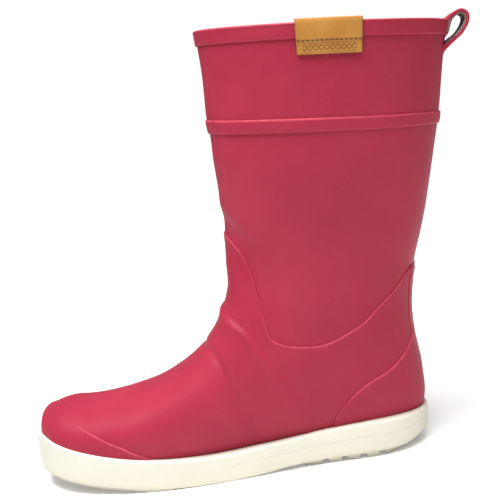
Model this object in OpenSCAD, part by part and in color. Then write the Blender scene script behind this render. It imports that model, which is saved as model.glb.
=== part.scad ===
// Deck boot, left foot: a rubber sailing boot on a cream cup sole with a wavy tread.
// Frame: origin at the middle of the heel tread on the ground, +Z up, toe towards -X,
// outer side of the foot towards -Y.

/* [Boot] */
// Length of the sole
sole_length = 275; // [250:1:300]
// Height of the rim at the front
boot_height = 290; // [250:1:330]
// Widest width of the sole
sole_width = 103; // [94:1:112]

/* [Rubber] */
// Thickness of the leg and vamp sheet
rubber = 1.8; // [1.4:0.1:2.0]
// Step from the vamp down to the leg sheet
vamp_proud = 1.0; // [0.6:0.1:1.2]
// Thickness of the toe cap and the heel counter
overlay = 0.8; // [0.6:0.05:1.1]
// Thickness of the calf band and the top band
band = 0.95; // [0.6:0.05:1.2]

/* [Sole] */
// Height of the side wall at the heel
wall_top = 23; // [21:0.5:25.5]
// Width of the sole's border around the outsole plate
border = 4.5; // [3.5:0.5:5]
// Depth of the tread grooves
groove_depth = 1.6; // [1:0.1:2]
// Distance between the forefoot grooves
fore_pitch = 13.6; // [13:0.1:13.8]
// Distance between the heel grooves
heel_pitch = 12.6; // [12:0.1:13]
// How far the toe rises above the ground
toe_spring = 13.5; // [8:0.5:14]

/* [Pull loop] */
// Width of the loop's strap
strap_w = 22; // [18:0.5:24]
// Thickness of the strap's rubber
strap_t = 1.9; // [1.5:0.1:2]

/* [Label] */
// Drop of the leather label below the rim
label_drop = 19; // [14:1:22]
// Number of stitches in the label's seam
stitches = 14; // [9:1:15]

/* [Hidden] */

red = [0.72, 0.20, 0.30];
cream = [0.96, 0.95, 0.88];
inlay_red = [0.83, 0.27, 0.33];
tan_leather = [0.78, 0.56, 0.28];
thread = [0.24, 0.16, 0.11];
textile = [0.47, 0.42, 0.40];
fibre = [0.70, 0.62, 0.50];
foam = [0.60, 0.60, 0.58];

gap = 0.25;         // clearance between neighbouring layers
layer_gap = 0.6;    // clearance between curved layers that are drawn with different facets
puff_gap = 0.75;    // clearance outside the inner stiffeners
sock_gap = 1.1;     // clearance between the inner stiffeners and the foot's lining
wall_gap = 0.95;    // clearance between the overlays and the side wall
board_gap = 0.5;    // clearance between the foot's lining and the parts it holds
lining_t = 0.9;     // thickness of the textile linings
puff_t = 0.9;       // thickness of the inner stiffeners
kx = sole_length / 275;
ky = sole_width / 103;
foot_zone = 60;     // heights below this don't change with the boot's height
kz = (boot_height - foot_zone) / (290 - foot_zone);
function high(z) = z <= foot_zone ? z : foot_zone + (z - foot_zone) * kz;

// Depths of the layers, measured outwards from the boot's outer surface
vamp_in = -vamp_proud - rubber;
overlay_in = layer_gap + 0.1;
overlay_out = overlay_in + overlay;
band_in = 0.35;
band_out = band_in + band;
puff_out = vamp_in - puff_gap;
puff_in = puff_out - puff_t;
foot_lining_out = puff_in - sock_gap;
foot_lining_in = foot_lining_out - lining_t;
leg_lining_out = -rubber - layer_gap;
leg_lining_in = leg_lining_out - lining_t;

// ---- Curves -------------------------------------------------------------------------------

// Uniform Catmull-Rom value between b and c, at u from 0 to 1
function spline4(a, b, c, d, u) =
    0.5 * (2 * b + (c - a) * u + (2 * a - 5 * b + 4 * c - d) * u * u
        + (3 * b - a - 3 * c + d) * u * u * u);

// Point at t on a smooth open curve through P, with the end points reflected
function curve(P, t) =
    let (n = len(P), i = max(0, min(n - 2, floor(t))), u = t - i,
        a = i > 0 ? P[i - 1] : 2 * P[0] - P[1],
        d = i < n - 2 ? P[i + 2] : 2 * P[n - 1] - P[n - 2])
    spline4(a, P[i], P[i + 1], d, u);

// Point at t on a smooth closed curve through P
function loop_curve(P, t) =
    let (n = len(P), i = floor(t), u = t - i)
    spline4(P[(i + n - 1) % n], P[i % n], P[(i + 1) % n], P[(i + 2) % n], u);

function mix(a, b, t) = a + (b - a) * t;

// Slope at row i of a table of [x, value] rows, and the table's smooth value at x
function slope(T, i) =
    let (a = T[max(i - 1, 0)], b = T[min(i + 1, len(T) - 1)]) (b[1] - a[1]) / (b[0] - a[0]);
function profile(T, x, i = 0) =
    x <= T[0][0] ? T[0][1]
    : x >= T[len(T) - 1][0] ? T[len(T) - 1][1]
    : x > T[i + 1][0] ? profile(T, x, i + 1)
    : let (h = T[i + 1][0] - T[i][0], u = (x - T[i][0]) / h)
        mix(T[i][1], T[i + 1][1], u * u * (3 - 2 * u))
        + h * u * (1 - u) * (slope(T, i) * (1 - u) - slope(T, i + 1) * u);

// Running length along a polyline
function lengths(P) =
    [for (i = 0, c = 0; i < len(P); c = c + (i < len(P) - 1 ? norm(P[i + 1] - P[i]) : 0), i = i + 1)
        c];

// n + 1 points spaced evenly along a polyline, from share t0 to share t1 of its length
function even(P, n, t0 = 0, t1 = 1) =
    let (c = lengths(P), whole = c[len(c) - 1], dims = len(P[0]),
        T = [for (k = [0:dims - 1]) [for (i = [0:len(P) - 1]) [c[i], P[i][k]]]])
    [for (j = [0:n]) let (d = whole * (t0 + (t1 - t0) * j / n))
        [for (k = [0:dims - 1]) lookup(d, T[k])]];

// ---- Outer surface of the boot --------------------------------------------------------------

// Cross sections from the toe tip to the rim. Each row holds the front or top point [x, z],
// the bottom or back point [x, z], half the width, the sideways shift and the squareness.
SECTIONS = [
    [-230, 33, -230, 33, 0, 8, 0.86],
    [-228, 48, -228, 22, 17, 8, 0.86],
    [-222, 51, -222, 12, 28, 7.5, 0.86],
    [-210, 53.5, -211, 7, 37, 6, 0.86],
    [-190, 53, -192, 4, 43, 4.8, 0.86],
    [-165, 56, -168, 2, 46.7, 3.5, 0.86],
    [-140, 63, -143, 1, 47.3, 1.9, 0.87],
    [-115, 77, -115, 1, 44.6, -0.2, 0.88],
    [-96, 95, -85, 1, 41, -1, 0.90],
    [-84, 120, -50, 0, 38.5, -1, 0.93],
    [-82, 138, -12, 1, 37, -0.5, 0.95],
    [-81, 150, 18, 5, 36.5, 0, 0.97],
    [-80.5, 160, 35.5, 24, 36.5, 0, 0.98],
    [-79.5, 169, 38, 50, 37, 0, 1],
    [-80, 178, 36, 80, 38, 0, 1],
    [-79.5, 187, 39.5, 108, 40, 0, 1],
    [-79.5, 197, 49.5, 140, 43, 0, 1],
    [-79.5, 208, 58.5, 172, 46, 0, 1],
    [-79, 222, 67.5, 205.5, 48, 0, 1],
    [-79.5, 236, 71, 220, 49, 0, 1],
    [-78, 262, 76, 245, 50, 0, 1],
    [-78.5, 290, 82, 272, 51, 0, 1]];
RIM = len(SECTIONS) - 1;

// The section at station s, scaled to the boot's size. At the toe tip the sections run on
// through the pole, so the nose is round.
function section(s) =
    let (i = max(0, min(RIM - 1, floor(s))), u = s - i,
        P = SECTIONS, p = P[0], q = P[1],
        before = i > 0 ? P[i - 1] : [q[0], 2 * p[1] - q[1], q[2], 2 * p[3] - q[3], -q[4], q[5], q[6]],
        after = i < RIM - 1 ? P[i + 2] : 2 * P[RIM] - P[RIM - 1],
        c = spline4(before, P[i], P[i + 1], after, u))
    [c[0] * kx, high(c[1]), c[2] * kx, high(c[3]), c[4] * ky, c[5] * ky, c[6]];

function powered(v, e) = sign(v) * pow(abs(v), e);

// Surface point at station s and angle a round the section, 0 at the front or top
function on_section(s, a) =
    let (c = section(s), ca = powered(cos(a), c[6]), sa = powered(sin(a), c[6]))
    [(c[0] + c[2]) / 2 + (c[0] - c[2]) / 2 * ca,
     c[5] + c[4] * sa,
     (c[1] + c[3]) / 2 + (c[1] - c[3]) / 2 * ca];

// The surface as a map: a map point m has its station as distance from the map's centre and
// its angle round the section as direction.
function map_point(s, a) = [s * cos(a), s * sin(a)];
function surface_at(m) = on_section(norm(m), norm(m) < 1e-6 ? 0 : atan2(m.y, m.x));
function normal_at(m) =
    let (e = 0.04, c = cross(surface_at(m + [e, 0]) - surface_at(m - [e, 0]),
            surface_at(m + [0, e]) - surface_at(m - [0, e])))
    c / norm(c);
function skin(m, depth) = surface_at(m) + normal_at(m) * depth;

// ---- Edge lines on the map, on one side, as rows of [angle, station] --------------------------

VAMP_EDGE = [[0, 11.8], [35, 11.9], [48, 11.3], [60, 10.5], [72, 10.05], [80, 10.25],
    [90, 11.25], [104, 12.6], [130, 14.1], [158, 15.2], [180, 15.4]];
CAP_EDGE = [[0, 3.12], [40, 3.42], [58, 3.95], [74, 4.44], [84, 4.89], [93, 5.4],
    [105, 5.8], [113, 6.0]];
COUNTER_EDGE = [[180, 14.22], [171, 13.9], [158, 13.6], [147, 13.25], [135, 12.79], [124, 12.12],
    [117, 11.5], [116, 10.95], [121, 10.5], [130, 9.95], [138, 9.8]];
STRIP_FRONT = [[0, 7.53], [20, 7.65], [42, 8.0], [62, 8.2], [80, 8.3], [95, 8.42],
    [110, 8.45], [124, 8.42]];
STRIP_REAR = [[0, 8.58], [20, 8.62], [42, 8.85], [62, 9.25], [80, 9.48], [95, 9.6],
    [108, 9.58], [122, 9.5]];

// Map point at share t along an edge line; side is -1 for the outer side, 1 for the inner
function edge_at(E, t, side) =
    let (r = curve(E, t * (len(E) - 1))) map_point(r[1], side * r[0]);

// ---- Level lines ------------------------------------------------------------------------------

// Rise of the whole sole towards the toe
spring_start = -140 * kx;
toe_x = -236 * kx;
function spring(x) =
    x > spring_start ? 0 : toe_spring * pow((spring_start - x) / (spring_start - toe_x), 1.6);

// Rise of the sole's underside towards the toe and at the back of the heel
lift_start = 8 * kx;
heel_x = 39 * kx;
heel_lift = 6.5;
function rise(x) =
    spring(x) + (x > lift_start ? heel_lift * pow((x - lift_start) / (heel_x - lift_start), 2) : 0);

// Station at which the level line starts or ends, found by halving
function level_ratio(s, z) = let (c = section(s)) abs((z - (c[1] + c[3]) / 2) / ((c[1] - c[3]) / 2));
function level_end(z, low, high_s, rising, n = 22) =
    n == 0 ? (low + high_s) / 2
    : let (m = (low + high_s) / 2, outside = level_ratio(m, z) > 1)
        outside == rising ? level_end(z, low, m, rising, n - 1) : level_end(z, m, high_s, rising, n - 1);

// Share of section c's half height at which its surface meets the line of height zf(x). The
// height depends on the point's own x, so the share is found in a few steps.
function level_share(c, zf, x, n = 3) =
    let (r = max(-1, min(1, (zf(x) - (c[1] + c[3]) / 2) / ((c[1] - c[3]) / 2))))
    n == 0 ? r : level_share(c, zf, (c[0] + c[2]) / 2 + (c[0] - c[2]) / 2 * r, n - 1);

// Map point at station s on the line of height zf(x)
function level_map(s, zf, side) =
    let (c = section(s), r = level_share(c, zf, (c[0] + c[2]) / 2))
    map_point(s, side * acos(powered(r, 1 / c[6])));

// Map points, from toe to heel, on the level line of height zf(x), close together at its ends
toe_zf_x = -230 * kx;
heel_zf_x = 36 * kx;
level_n = 72;
function level_line(zf, side) =
    let (s0 = level_end(zf(toe_zf_x), 0.02, 4, false), s1 = level_end(zf(heel_zf_x), 10.5, 13.5, true))
    [for (i = [0:level_n]) level_map(mix(s0, s1, (1 - cos(180 * i / level_n)) / 2), zf, side)];

// The same line as n + 1 map points, closer together round the toe and the heel
crowding = 0.45;
function even_line(zf, side, n) =
    let (L = level_line(zf, side), c = lengths([for (m = L) surface_at(m)]), whole = c[level_n],
        X = [for (i = [0:level_n]) [c[i], L[i].x]], Y = [for (i = [0:level_n]) [c[i], L[i].y]])
    [for (j = [0:n]) let (t = whole * (j / n - crowding * sin(360 * j / n) / (2 * PI)))
        [lookup(t, X), lookup(t, Y)]];

// The same line as n + 1 evenly spaced 3-D points at a depth
function level_points(zf, depth, side, n, t0 = 0, t1 = 1) =
    even([for (m = level_line(zf, side)) skin(m, depth)], n, t0, t1);

// Height of the edge at which the upper is lasted
feather = 12;
function feather_z(x) = feather + spring(x);

// ---- Solids from grids --------------------------------------------------------------------------

// Closed ring through loops of equal length; the last loop joins the first
module ring(loops) {
    m = len(loops);
    n = len(loops[0]);
    faces = [for (i = [0:m - 1]) for (j = [0:n - 1])
        let (a = i * n + j, b = i * n + (j + 1) % n,
            c = ((i + 1) % m) * n + (j + 1) % n, d = ((i + 1) % m) * n + j)
        each [[a, b, c], [a, c, d]]];
    polyhedron([for (l = loops) each l], faces);
}

// Closed slab between two grids of equal size
module slab(top, bottom) {
    m = len(top);
    n = len(top[0]);
    k = m * n;
    surfaces = [for (i = [0:m - 2]) for (j = [0:n - 2])
        let (a = i * n + j, b = a + 1, c = a + n + 1, d = a + n)
        each [[a, b, c], [a, c, d], [k + a, k + c, k + b], [k + a, k + d, k + c]]];
    rim = concat([for (j = [0:n - 1]) j], [for (i = [1:m - 1]) i * n + n - 1],
        [for (j = [n - 2:-1:0]) (m - 1) * n + j], [for (i = [m - 2:-1:1]) i * n]);
    walls = [for (q = [0:len(rim) - 1]) let (a = rim[q], b = rim[(q + 1) % len(rim)])
        each [[b, a, k + a], [b, k + a, k + b]]];
    polyhedron([for (r = top) each r, for (r = bottom) each r], concat(surfaces, walls));
}

// Ring of the surface: lines is a list of loops of map points, depths pairs them with
// [outer depth, inner depth]
module surface_ring(lines, depths) {
    n = len(lines);
    ring(concat([for (i = [0:n - 1]) [for (m = lines[i]) skin(m, depths[i][0])]],
        [for (i = [n - 1:-1:0]) [for (m = lines[i]) skin(m, depths[i][1])]]));
}

// Patch of the surface between two depths
module surface_patch(grid, outer, inner) {
    slab([for (r = grid) [for (m = r) skin(m, outer)]], [for (r = grid) [for (m = r) skin(m, inner)]]);
}

// Loop of map points made of a line on the outer side, toe or front first, and its twin
function two_sides(line) =
    let (n = len(line))
    concat([for (i = [0:n - 1]) line[i]], [for (i = [n - 2:-1:1]) [line[i].x, -line[i].y]]);

// Patch grid across the boot from the outer side to the inner side: rows run from line A to
// line B, and both lines start at the middle
function across(A, B, rows) =
    let (n = len(A), order = concat([for (i = [n - 1:-1:1]) [i, -1]], [for (i = [0:n - 1]) [i, 1]]))
    [for (r = [0:rows]) [for (o = order)
        let (m = mix(A[o[0]], B[o[0]], r / rows)) [m.x, m.y * o[1]]]];

// Half-side lines with n + 1 map points, on the positive side
function edge_line(E, n) = [for (i = [0:n]) edge_at(E, i / n, 1)];

// ---- Upper ------------------------------------------------------------------------------------

vamp_n = 27;        // steps from front to back on each side
vamp_rows = 18;
lap = 0.93;         // share of the vamp's height where it starts to lap over the leg
lap_step = 0.01;
feather_line = even_line(function(x) feather_z(x), 1, vamp_n);
vamp_line = edge_line(VAMP_EDGE, vamp_n);
function vamp_map(v) = two_sides([for (i = [0:vamp_n]) mix(feather_line[i], vamp_line[i], v)]);

module vamp() {
    body_v = [for (i = [0:vamp_rows]) (lap - lap_step) * pow(i / vamp_rows, 1.15)];
    v = concat(body_v, [lap, 0.985, 1]);
    depths = [for (x = v) x < lap ? [0, vamp_in] : [x == 1 ? -0.3 : 0, gap - vamp_proud]];
    color(red) surface_ring([for (x = v) vamp_map(x)], depths);
}

// Loop of map points a share w of the way from the vamp's lap up to the rim
function leg_map(w, start = lap + lap_step) =
    let (low = vamp_map(start), n = len(low))
    [for (i = [0:n - 1]) mix(low[i], map_point(RIM, 360 * i / n), w)];

// The leg sheet lies low under the vamp and rises to the outer surface above it
rise_from = 0.06;
rise_to = 0.26;
function leg_dip(w) =
    let (u = max(0, min(1, (w - rise_from) / (rise_to - rise_from))))
    -vamp_proud * (1 - u * u * (3 - 2 * u));

band_n = 48;
function band_loop(s, depth) = [for (i = [0:band_n - 1]) skin(map_point(s, 360 * i / band_n), depth)];

leg_rows = 12;
module leg_shaft() {
    w = [for (i = [0:leg_rows]) pow(i / leg_rows, 1.35)];
    color(red)
        surface_ring([for (x = w) leg_map(x)], [for (x = w) [leg_dip(x), leg_dip(x) - rubber]]);
}

// Raised band round the leg between two stations, with a bevelled edge
module leg_band(low, top, thickness) {
    bevel = 0.03;
    edge = band_in + thickness * 0.6;
    face = band_in + thickness;
    color(red)
        ring([band_loop(low, edge), band_loop(low + bevel, face), band_loop(top - bevel, face),
            band_loop(top, edge), band_loop(top, band_in), band_loop(low, band_in)]);
}
calf_low = 18.17;
calf_top = 18.87;
module calf_band() leg_band(calf_low, calf_top, band);
top_low = 20.67;
module top_band() leg_band(top_low, RIM, band);

module foot_lining() {
    rows = 14;
    low = 0.015;
    high_v = 0.97;
    v = [for (i = [0:rows]) mix(low, high_v, i / rows)];
    half = 18;
    base = even_line(function(x) feather_z(x), 1, half);
    top = edge_line(VAMP_EDGE, half);
    color(textile)
        surface_ring([for (x = v) two_sides([for (i = [0:half]) mix(base[i], top[i], x)])],
            [for (x = v) [foot_lining_out, foot_lining_in]]);
}

module leg_lining() {
    rows = 9;
    start = 1.0;
    w = [for (i = [0:rows]) mix(0.005, 0.995, pow(i / rows, 1.2))];
    color(textile)
        surface_ring([for (x = w) leg_map(x, start)],
            [for (x = w) [leg_dip(x) + leg_lining_out, leg_dip(x) + leg_lining_in]]);
}

// ---- Stiffeners and overlays --------------------------------------------------------------------

// Level line at height zf from the middle outwards, between two shares of the toe-to-heel line
function base_line(zf, s_end, from_heel, n) =
    let (s0 = level_end(zf(toe_zf_x), 0.02, 4, false), s1 = level_end(zf(heel_zf_x), 10.5, 13.5, true),
        start = from_heel ? s1 : s0)
    [for (i = [0:n]) let (w = i / n) level_map(mix(start, s_end, w * w * (2 - w)), zf, 1)];

edge_lift = 0.5;        // height of the lower edges of overlays and stiffeners above the feather line
cap_n = 13;
cap_end = 6.1;
function cap_grid(rows) =
    across(base_line(function(x) feather_z(x) + edge_lift, cap_end, false, cap_n),
        edge_line(CAP_EDGE, cap_n), rows);
module toe_cap() {
    color(red) surface_patch(cap_grid(6), overlay_out, overlay_in);
}
module toe_puff() {
    color(fibre) surface_patch(cap_grid(5), puff_out, puff_in);
}

counter_n = 14;
counter_end = 9.7;
function counter_grid(rows) =
    across(edge_line(COUNTER_EDGE, counter_n),
        base_line(function(x) feather_z(x) + edge_lift, counter_end, true, counter_n), rows);
module heel_counter() {
    color(red) surface_patch(counter_grid(6), overlay_out, overlay_in);
}
module heel_stiffener() {
    color(fibre) surface_patch(counter_grid(5), puff_out, puff_in);
}

strip_n = 12;
module instep_strip() {
    color(fibre)
        surface_patch(across(edge_line(STRIP_FRONT, strip_n), edge_line(STRIP_REAR, strip_n), 3),
            puff_out, puff_in);
}

module back_strip() {
    half_angle = 17.5;
    low_middle = 14.36;     // just above the tip of the heel counter
    low_side = 13.9;
    top = 15.2;
    grid = [for (i = [0:4]) [for (j = [-3:3])
        map_point(mix(mix(low_middle, low_side, abs(j) / 3), top, i / 4), 180 + half_angle * j / 3)]];
    color(red) surface_patch(grid, overlay_out, overlay_in);
}

// ---- Sole ---------------------------------------------------------------------------------------

// Plan outline of the sole from the toe tip along the outer side, round the heel and back
// along the inner side
OUTLINE = [[-236, 10], [-234, -6], [-227, -19.5], [-209, -34.5], [-182, -44], [-147, -48.5],
    [-112, -47.5], [-76, -42], [-40, -36.3], [-8, -34.2], [12, -31.3], [28, -23], [36.5, -12],
    [39, 0], [36.5, 12], [28, 23], [12, 31.3], [-8, 33.6], [-40, 33.8], [-62, 34.8], [-90, 40],
    [-117, 49], [-150, 54.8], [-186, 51.8], [-212, 45.5], [-226, 35.2], [-233, 24]];
HEEL_POINT = 13;
side_n = 46;

dense_outer = [for (i = [0:HEEL_POINT * 8]) loop_curve(OUTLINE, i / 8)];
dense_inner = [for (i = [len(OUTLINE) * 8:-1:HEEL_POINT * 8]) loop_curve(OUTLINE, i / 8)];
function scaled(P) = [for (p = P) [p.x * kx, p.y * ky]];
outline_outer = even(scaled(dense_outer), side_n);
outline_inner = even(scaled(dense_inner), side_n);

// Outline on one side, moved inwards
function inset_side(P, inset, side) =
    let (n = len(P) - 1)
    [for (i = [0:n]) let (a = i > 0 ? P[i - 1] : [P[1].x, 2 * P[0].y - P[1].y],
            b = i < n ? P[i + 1] : [P[n - 1].x, 2 * P[n].y - P[n - 1].y],
            d = (b - a) / norm(b - a))
        P[i] + side * [d.y, -d.x] * inset];
function side_outer(inset) = inset_side(outline_outer, inset, -1);
function side_inner(inset) = inset_side(outline_inner, inset, 1);

// Closed loop of the outline at an inset, with height zf(x)
function sole_loop(inset, zf) =
    let (a = side_outer(inset), b = side_inner(inset))
    concat([for (p = a) [p.x, p.y, zf(p.x)]], [for (i = [side_n - 1:-1:1]) [b[i].x, b[i].y, zf(b[i].x)]]);

// Closed loop of the surface's level line, with as many points as the outline
function wall_loop(zf, depth) =
    let (a = level_points(zf, depth, -1, side_n), b = level_points(zf, depth, 1, side_n))
    concat(a, [for (i = [side_n - 1:-1:1]) b[i]]);

// Heights of the side wall
WALL = [[-236, 40.5], [-220, 36.9], [-202, 31.4], [-180, 26.3], [-153, 21.7], [-127, 19],
    [-98, 17.9], [-65, 19.7], [-30, 22.6], [0, 24], [39, 23]];
function wall_z(x) = profile(WALL, x / kx) + (wall_top - 23);
WALL_BASE = [[-170, 2], [-125, 0.4], [-98, 0.2], [-78, 1], [-54, 3], [-30, 3.9], [-8, 4.4], [40, 4.4]];
function wall_bottom(x) = profile(WALL_BASE, x / kx) + rise(x);

plate_gap = 0.3;
plate_low = 2.7;        // underside of the outsole plate
plate_top = 5.5;
filler_low = plate_top + plate_gap;
filler_top = 11.4;
heel_filler_top = 8.4;
board_low = feather + 0.3;
board_top = feather + 2.1;
liner_low = board_top + 0.3;
liner_top = liner_low + 3.2;

module foxing() {
    grip = overlay_out + wall_gap;
    color(cream)
        ring([
            sole_loop(border, function(x) wall_bottom(x)),
            sole_loop(border + 0.4, function(x) rise(x) + plate_top + 0.5),
            sole_loop(border + 1.6, function(x) spring(x) + filler_top + 0.2),
            wall_loop(function(x) feather_z(x) - 0.5, grip),
            wall_loop(function(x) mix(feather_z(x), wall_z(x), 0.5), grip),
            wall_loop(function(x) wall_z(x) - 0.2, grip + 0.2),
            sole_loop(0.6, function(x) wall_z(x)),
            sole_loop(0.4, function(x) wall_z(x) - 0.5),
            sole_loop(0.1, function(x) wall_z(x) - 2.2),
            sole_loop(0, function(x) mix(wall_bottom(x), wall_z(x), 0.55)),
            sole_loop(0, function(x) wall_bottom(x) + 3.0),
            sole_loop(0.4, function(x) wall_bottom(x) + 1.0),
            sole_loop(1.6, function(x) wall_bottom(x))]);
}

// Flat-lying slab between the two sides of an outline, from z = low(x) to z = top(x)
module sole_slab(outer, inner, low, top) {
    slab([for (i = [0:len(outer) - 1]) [for (t = [0, 0.5, 1])
            let (p = mix(outer[i], inner[i], t)) [p.x, p.y, top(p.x)]]],
        [for (i = [0:len(outer) - 1]) [for (t = [0, 0.5, 1])
            let (p = mix(outer[i], inner[i], t)) [p.x, p.y, low(p.x)]]]);
}

// Both sides at an inset as matched rows, left blunt at the tips
tip_share = 0.008;
plate_n = 36;
function trimmed(P, n) = even(P, n, tip_share, 1 - tip_share);

module outsole() {
    inset = border + 0.6;
    color(cream)
        sole_slab(trimmed(side_outer(inset), plate_n), trimmed(side_inner(inset), plate_n),
            function(x) plate_low + rise(x), function(x) plate_top + rise(x));
}

wedge_front = -66;      // front end of the heel wedge
ramp = 14;
module midsole_filler() {
    inset = border + 10;
    color(foam)
        sole_slab(trimmed(side_outer(inset), plate_n), trimmed(side_inner(inset), plate_n),
            function(x) filler_low + rise(x),
            function(x) x < wedge_front * kx - ramp ? filler_top + spring(x)
                : x > wedge_front * kx ? heel_filler_top
                : mix(filler_top, heel_filler_top, (x - wedge_front * kx + ramp) / ramp));
}

// Sides of an inner part whose outline follows the inside of the upper at a height
function inner_sides(lift, depth, side, n, t0 = tip_share, t1 = 1 - tip_share) =
    let (P = level_points(function(x) feather_z(x) + lift, depth, side, n, t0, t1))
    [for (p = P) [p.x, p.y]];

board_depth = foot_lining_in - board_gap;
module insole_board() {
    color(fibre)
        sole_slab(inner_sides(1, board_depth, -1, plate_n), inner_sides(1, board_depth, 1, plate_n),
            function(x) board_low + spring(x), function(x) board_top + spring(x));
}

module heel_wedge() {
    wedge_share = 0.64;
    color(foam)
        sole_slab(inner_sides(1, board_depth - 1, -1, 20, wedge_share, 1 - tip_share),
            inner_sides(1, board_depth - 1, 1, 20, wedge_share, 1 - tip_share),
            function(x) heel_filler_top + 0.3 + max(0, (wedge_front * kx + 4 - x) * 0.15),
            function(x) board_low - 0.3);
}

module sock_liner() {
    liner_lift = -1.5;
    color(textile)
        sole_slab(inner_sides(liner_lift, board_depth, -1, plate_n),
            inner_sides(liner_lift, board_depth, 1, plate_n),
            function(x) liner_low + spring(x), function(x) liner_top + spring(x));
}

// ---- Tread --------------------------------------------------------------------------------------

fore_inset = border + 2.2;
heel_inset = 3.4;       // the heel's ribs reach out under the side wall
pad_outer = side_outer(fore_inset);
pad_inner = side_inner(fore_inset);
lug_outer = side_outer(heel_inset);
lug_inner = side_inner(heel_inset);
function pad_side(x, fore, heel) =
    let (u = max(0, min(1, (x / kx + 60) / 20)))
    mix(lookup(x, [for (p = fore) [p.x, p.y]]), lookup(x, [for (p = heel) [p.x, p.y]]), u);
function pad_edge(x, t) = mix(pad_side(x, pad_outer, lug_outer), pad_side(x, pad_inner, lug_inner), t);

// Sideways wave of a groove, and the point of a pad at row x and share t across
wave_length = 51;
function fore_wave(y) = -3.5 * cos(360 * (y + 4) / wave_length);
function heel_wave(y) = -3.3 * cos(360 * y / (wave_length + 2));
function pad_point(x, t, swing, wave) =
    let (y0 = pad_edge(x, t), x1 = x + swing * wave(y0), y1 = pad_edge(x1, t))
    [x + swing * wave(y1), y1];

pad_cols = 10;
pad_base = plate_low - 0.2;
// One pad whose underside is cut by grooves. Rows hold [x, share of the wave, raised or not].
module pad(rows, wave) {
    flat = [for (r = rows) [for (j = [0:pad_cols]) pad_point(r[0], j / pad_cols, r[1], wave)]];
    slab([for (i = [0:len(rows) - 1]) [for (p = flat[i]) [p.x, p.y, pad_base + rise(p.x)]]],
        [for (i = [0:len(rows) - 1]) [for (p = flat[i])
            [p.x, p.y, (rows[i][2] ? 0 : groove_depth) + rise(p.x)]]]);
}

groove_w = 3.2;
groove_side = 0.5;      // run of a groove's side
// Rows for ribs between grooves at the places in G, from x0 to x1
function rib_rows(x0, x1, G, swing) =
    concat([[x0, swing(x0), true]],
        [for (g = G) each [
            [g - groove_w / 2, swing(g), true], [g - groove_w / 2 + groove_side, swing(g), false],
            [g + groove_w / 2 - groove_side, swing(g), false], [g + groove_w / 2, swing(g), true]]],
        [[x1, swing(x1), true]]);

fore_front = -227 * kx;
fore_rear = -117.3 * kx;
inlay_rear = -98.4 * kx;
bar_rear = -90.6 * kx;
fore_grooves = [for (i = [0:6]) -211.6 * kx + i * fore_pitch];
heel_front = -50.3 * kx;
heel_rear = 31.5 * kx;
// Grooves of the heel pad leave a rib over the origin
heel_grooves = [for (i = [-4:0]) i * heel_pitch + 11.4];

module forefoot_tread() {
    front_rows = [for (d = [0, 1.5, 4, 7.5]) [fore_front + d, 0, true]];
    swing = function(x) min(1, max(0, (x - fore_front) / (26 * kx)));
    color(cream) {
        pad(concat(front_rows, rib_rows(fore_front + 10, fore_rear - 0.6, [for (g = fore_grooves)
            if (g < fore_rear - 8) g], swing)), function(y) fore_wave(y));
        pad([[inlay_rear + 0.6, 1, true], [bar_rear, 1, true]], function(y) fore_wave(y));
    }
}

module tread_inlay() {
    color(inlay_red)
        pad([[fore_rear, 1, true], [fore_rear + 13 * kx, 1, true],
            [fore_rear + 13.5 * kx, 1, false], [fore_rear + 14.7 * kx, 1, false],
            [fore_rear + 15.2 * kx, 1, true], [inlay_rear, 1, true]], function(y) fore_wave(y));
}

module heel_tread() {
    rear_rows = [for (d = [5.5, 2.5, 0.8, 0]) [heel_rear - d, 0, true]];
    swing = function(x) min(1, max(0, (heel_rear - x) / (22 * kx)));
    color(cream)
        pad(concat(rib_rows(heel_front, heel_rear - 7.5, [for (g = heel_grooves)
            if (g > heel_front + 7 && g < heel_rear - 10) g], swing), rear_rows),
            function(y) heel_wave(y));
}

// ---- Label ----------------------------------------------------------------------------------------

station_mm = 28.5 * kz;     // length of one station step at the rim
label_from = -108.5;        // angles of the label's two ends
label_to = -80;
label_t = 1.2;
label_in = band_out + 0.3;
label_out = label_in + label_t;
function label_angle(t) = mix(label_from, label_to, t);

module label() {
    cols = 12;
    inside = leg_lining_in - 0.3;
    over = 0.5 / station_mm;
    low = RIM - label_drop / station_mm;
    fold = [[low, label_out, low, label_in],
        [mix(low, RIM, 0.5), label_out, mix(low, RIM, 0.5), label_in],
        [RIM, label_out, RIM, label_in],
        [RIM + over + 1.0 / station_mm, label_out - 0.5, RIM + over, label_in - 0.1],
        [RIM + over + 1.1 / station_mm, (label_in + inside) / 2, RIM + over, (label_in + inside) / 2],
        [RIM + over + 1.0 / station_mm, inside - label_t + 0.5, RIM + over, inside + 0.1],
        [RIM, inside - label_t, RIM, inside],
        [RIM - 0.35, inside - label_t, RIM - 0.35, inside]];
    color(tan_leather)
        slab([for (f = fold) [for (j = [0:cols]) skin(map_point(f[0], label_angle(j / cols)), f[1])]],
            [for (f = fold) [for (j = [0:cols]) skin(map_point(f[2], label_angle(j / cols)), f[3])]]);
}

module label_stitches() {
    seam = top_low + 0.02;
    half_width = 0.4 / station_mm;
    fill = 0.62;
    color(thread)
        for (i = [0:stitches - 1]) {
            a = label_angle((i + 0.5 - fill / 2) / stitches);
            b = label_angle((i + 0.5 + fill / 2) / stitches);
            surface_patch([[map_point(seam - half_width, a), map_point(seam - half_width, b)],
                [map_point(seam + half_width, a), map_point(seam + half_width, b)]],
                label_out + 0.5, label_out + 0.05);
        }
}

// ---- Pull loop ------------------------------------------------------------------------------------

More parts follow.
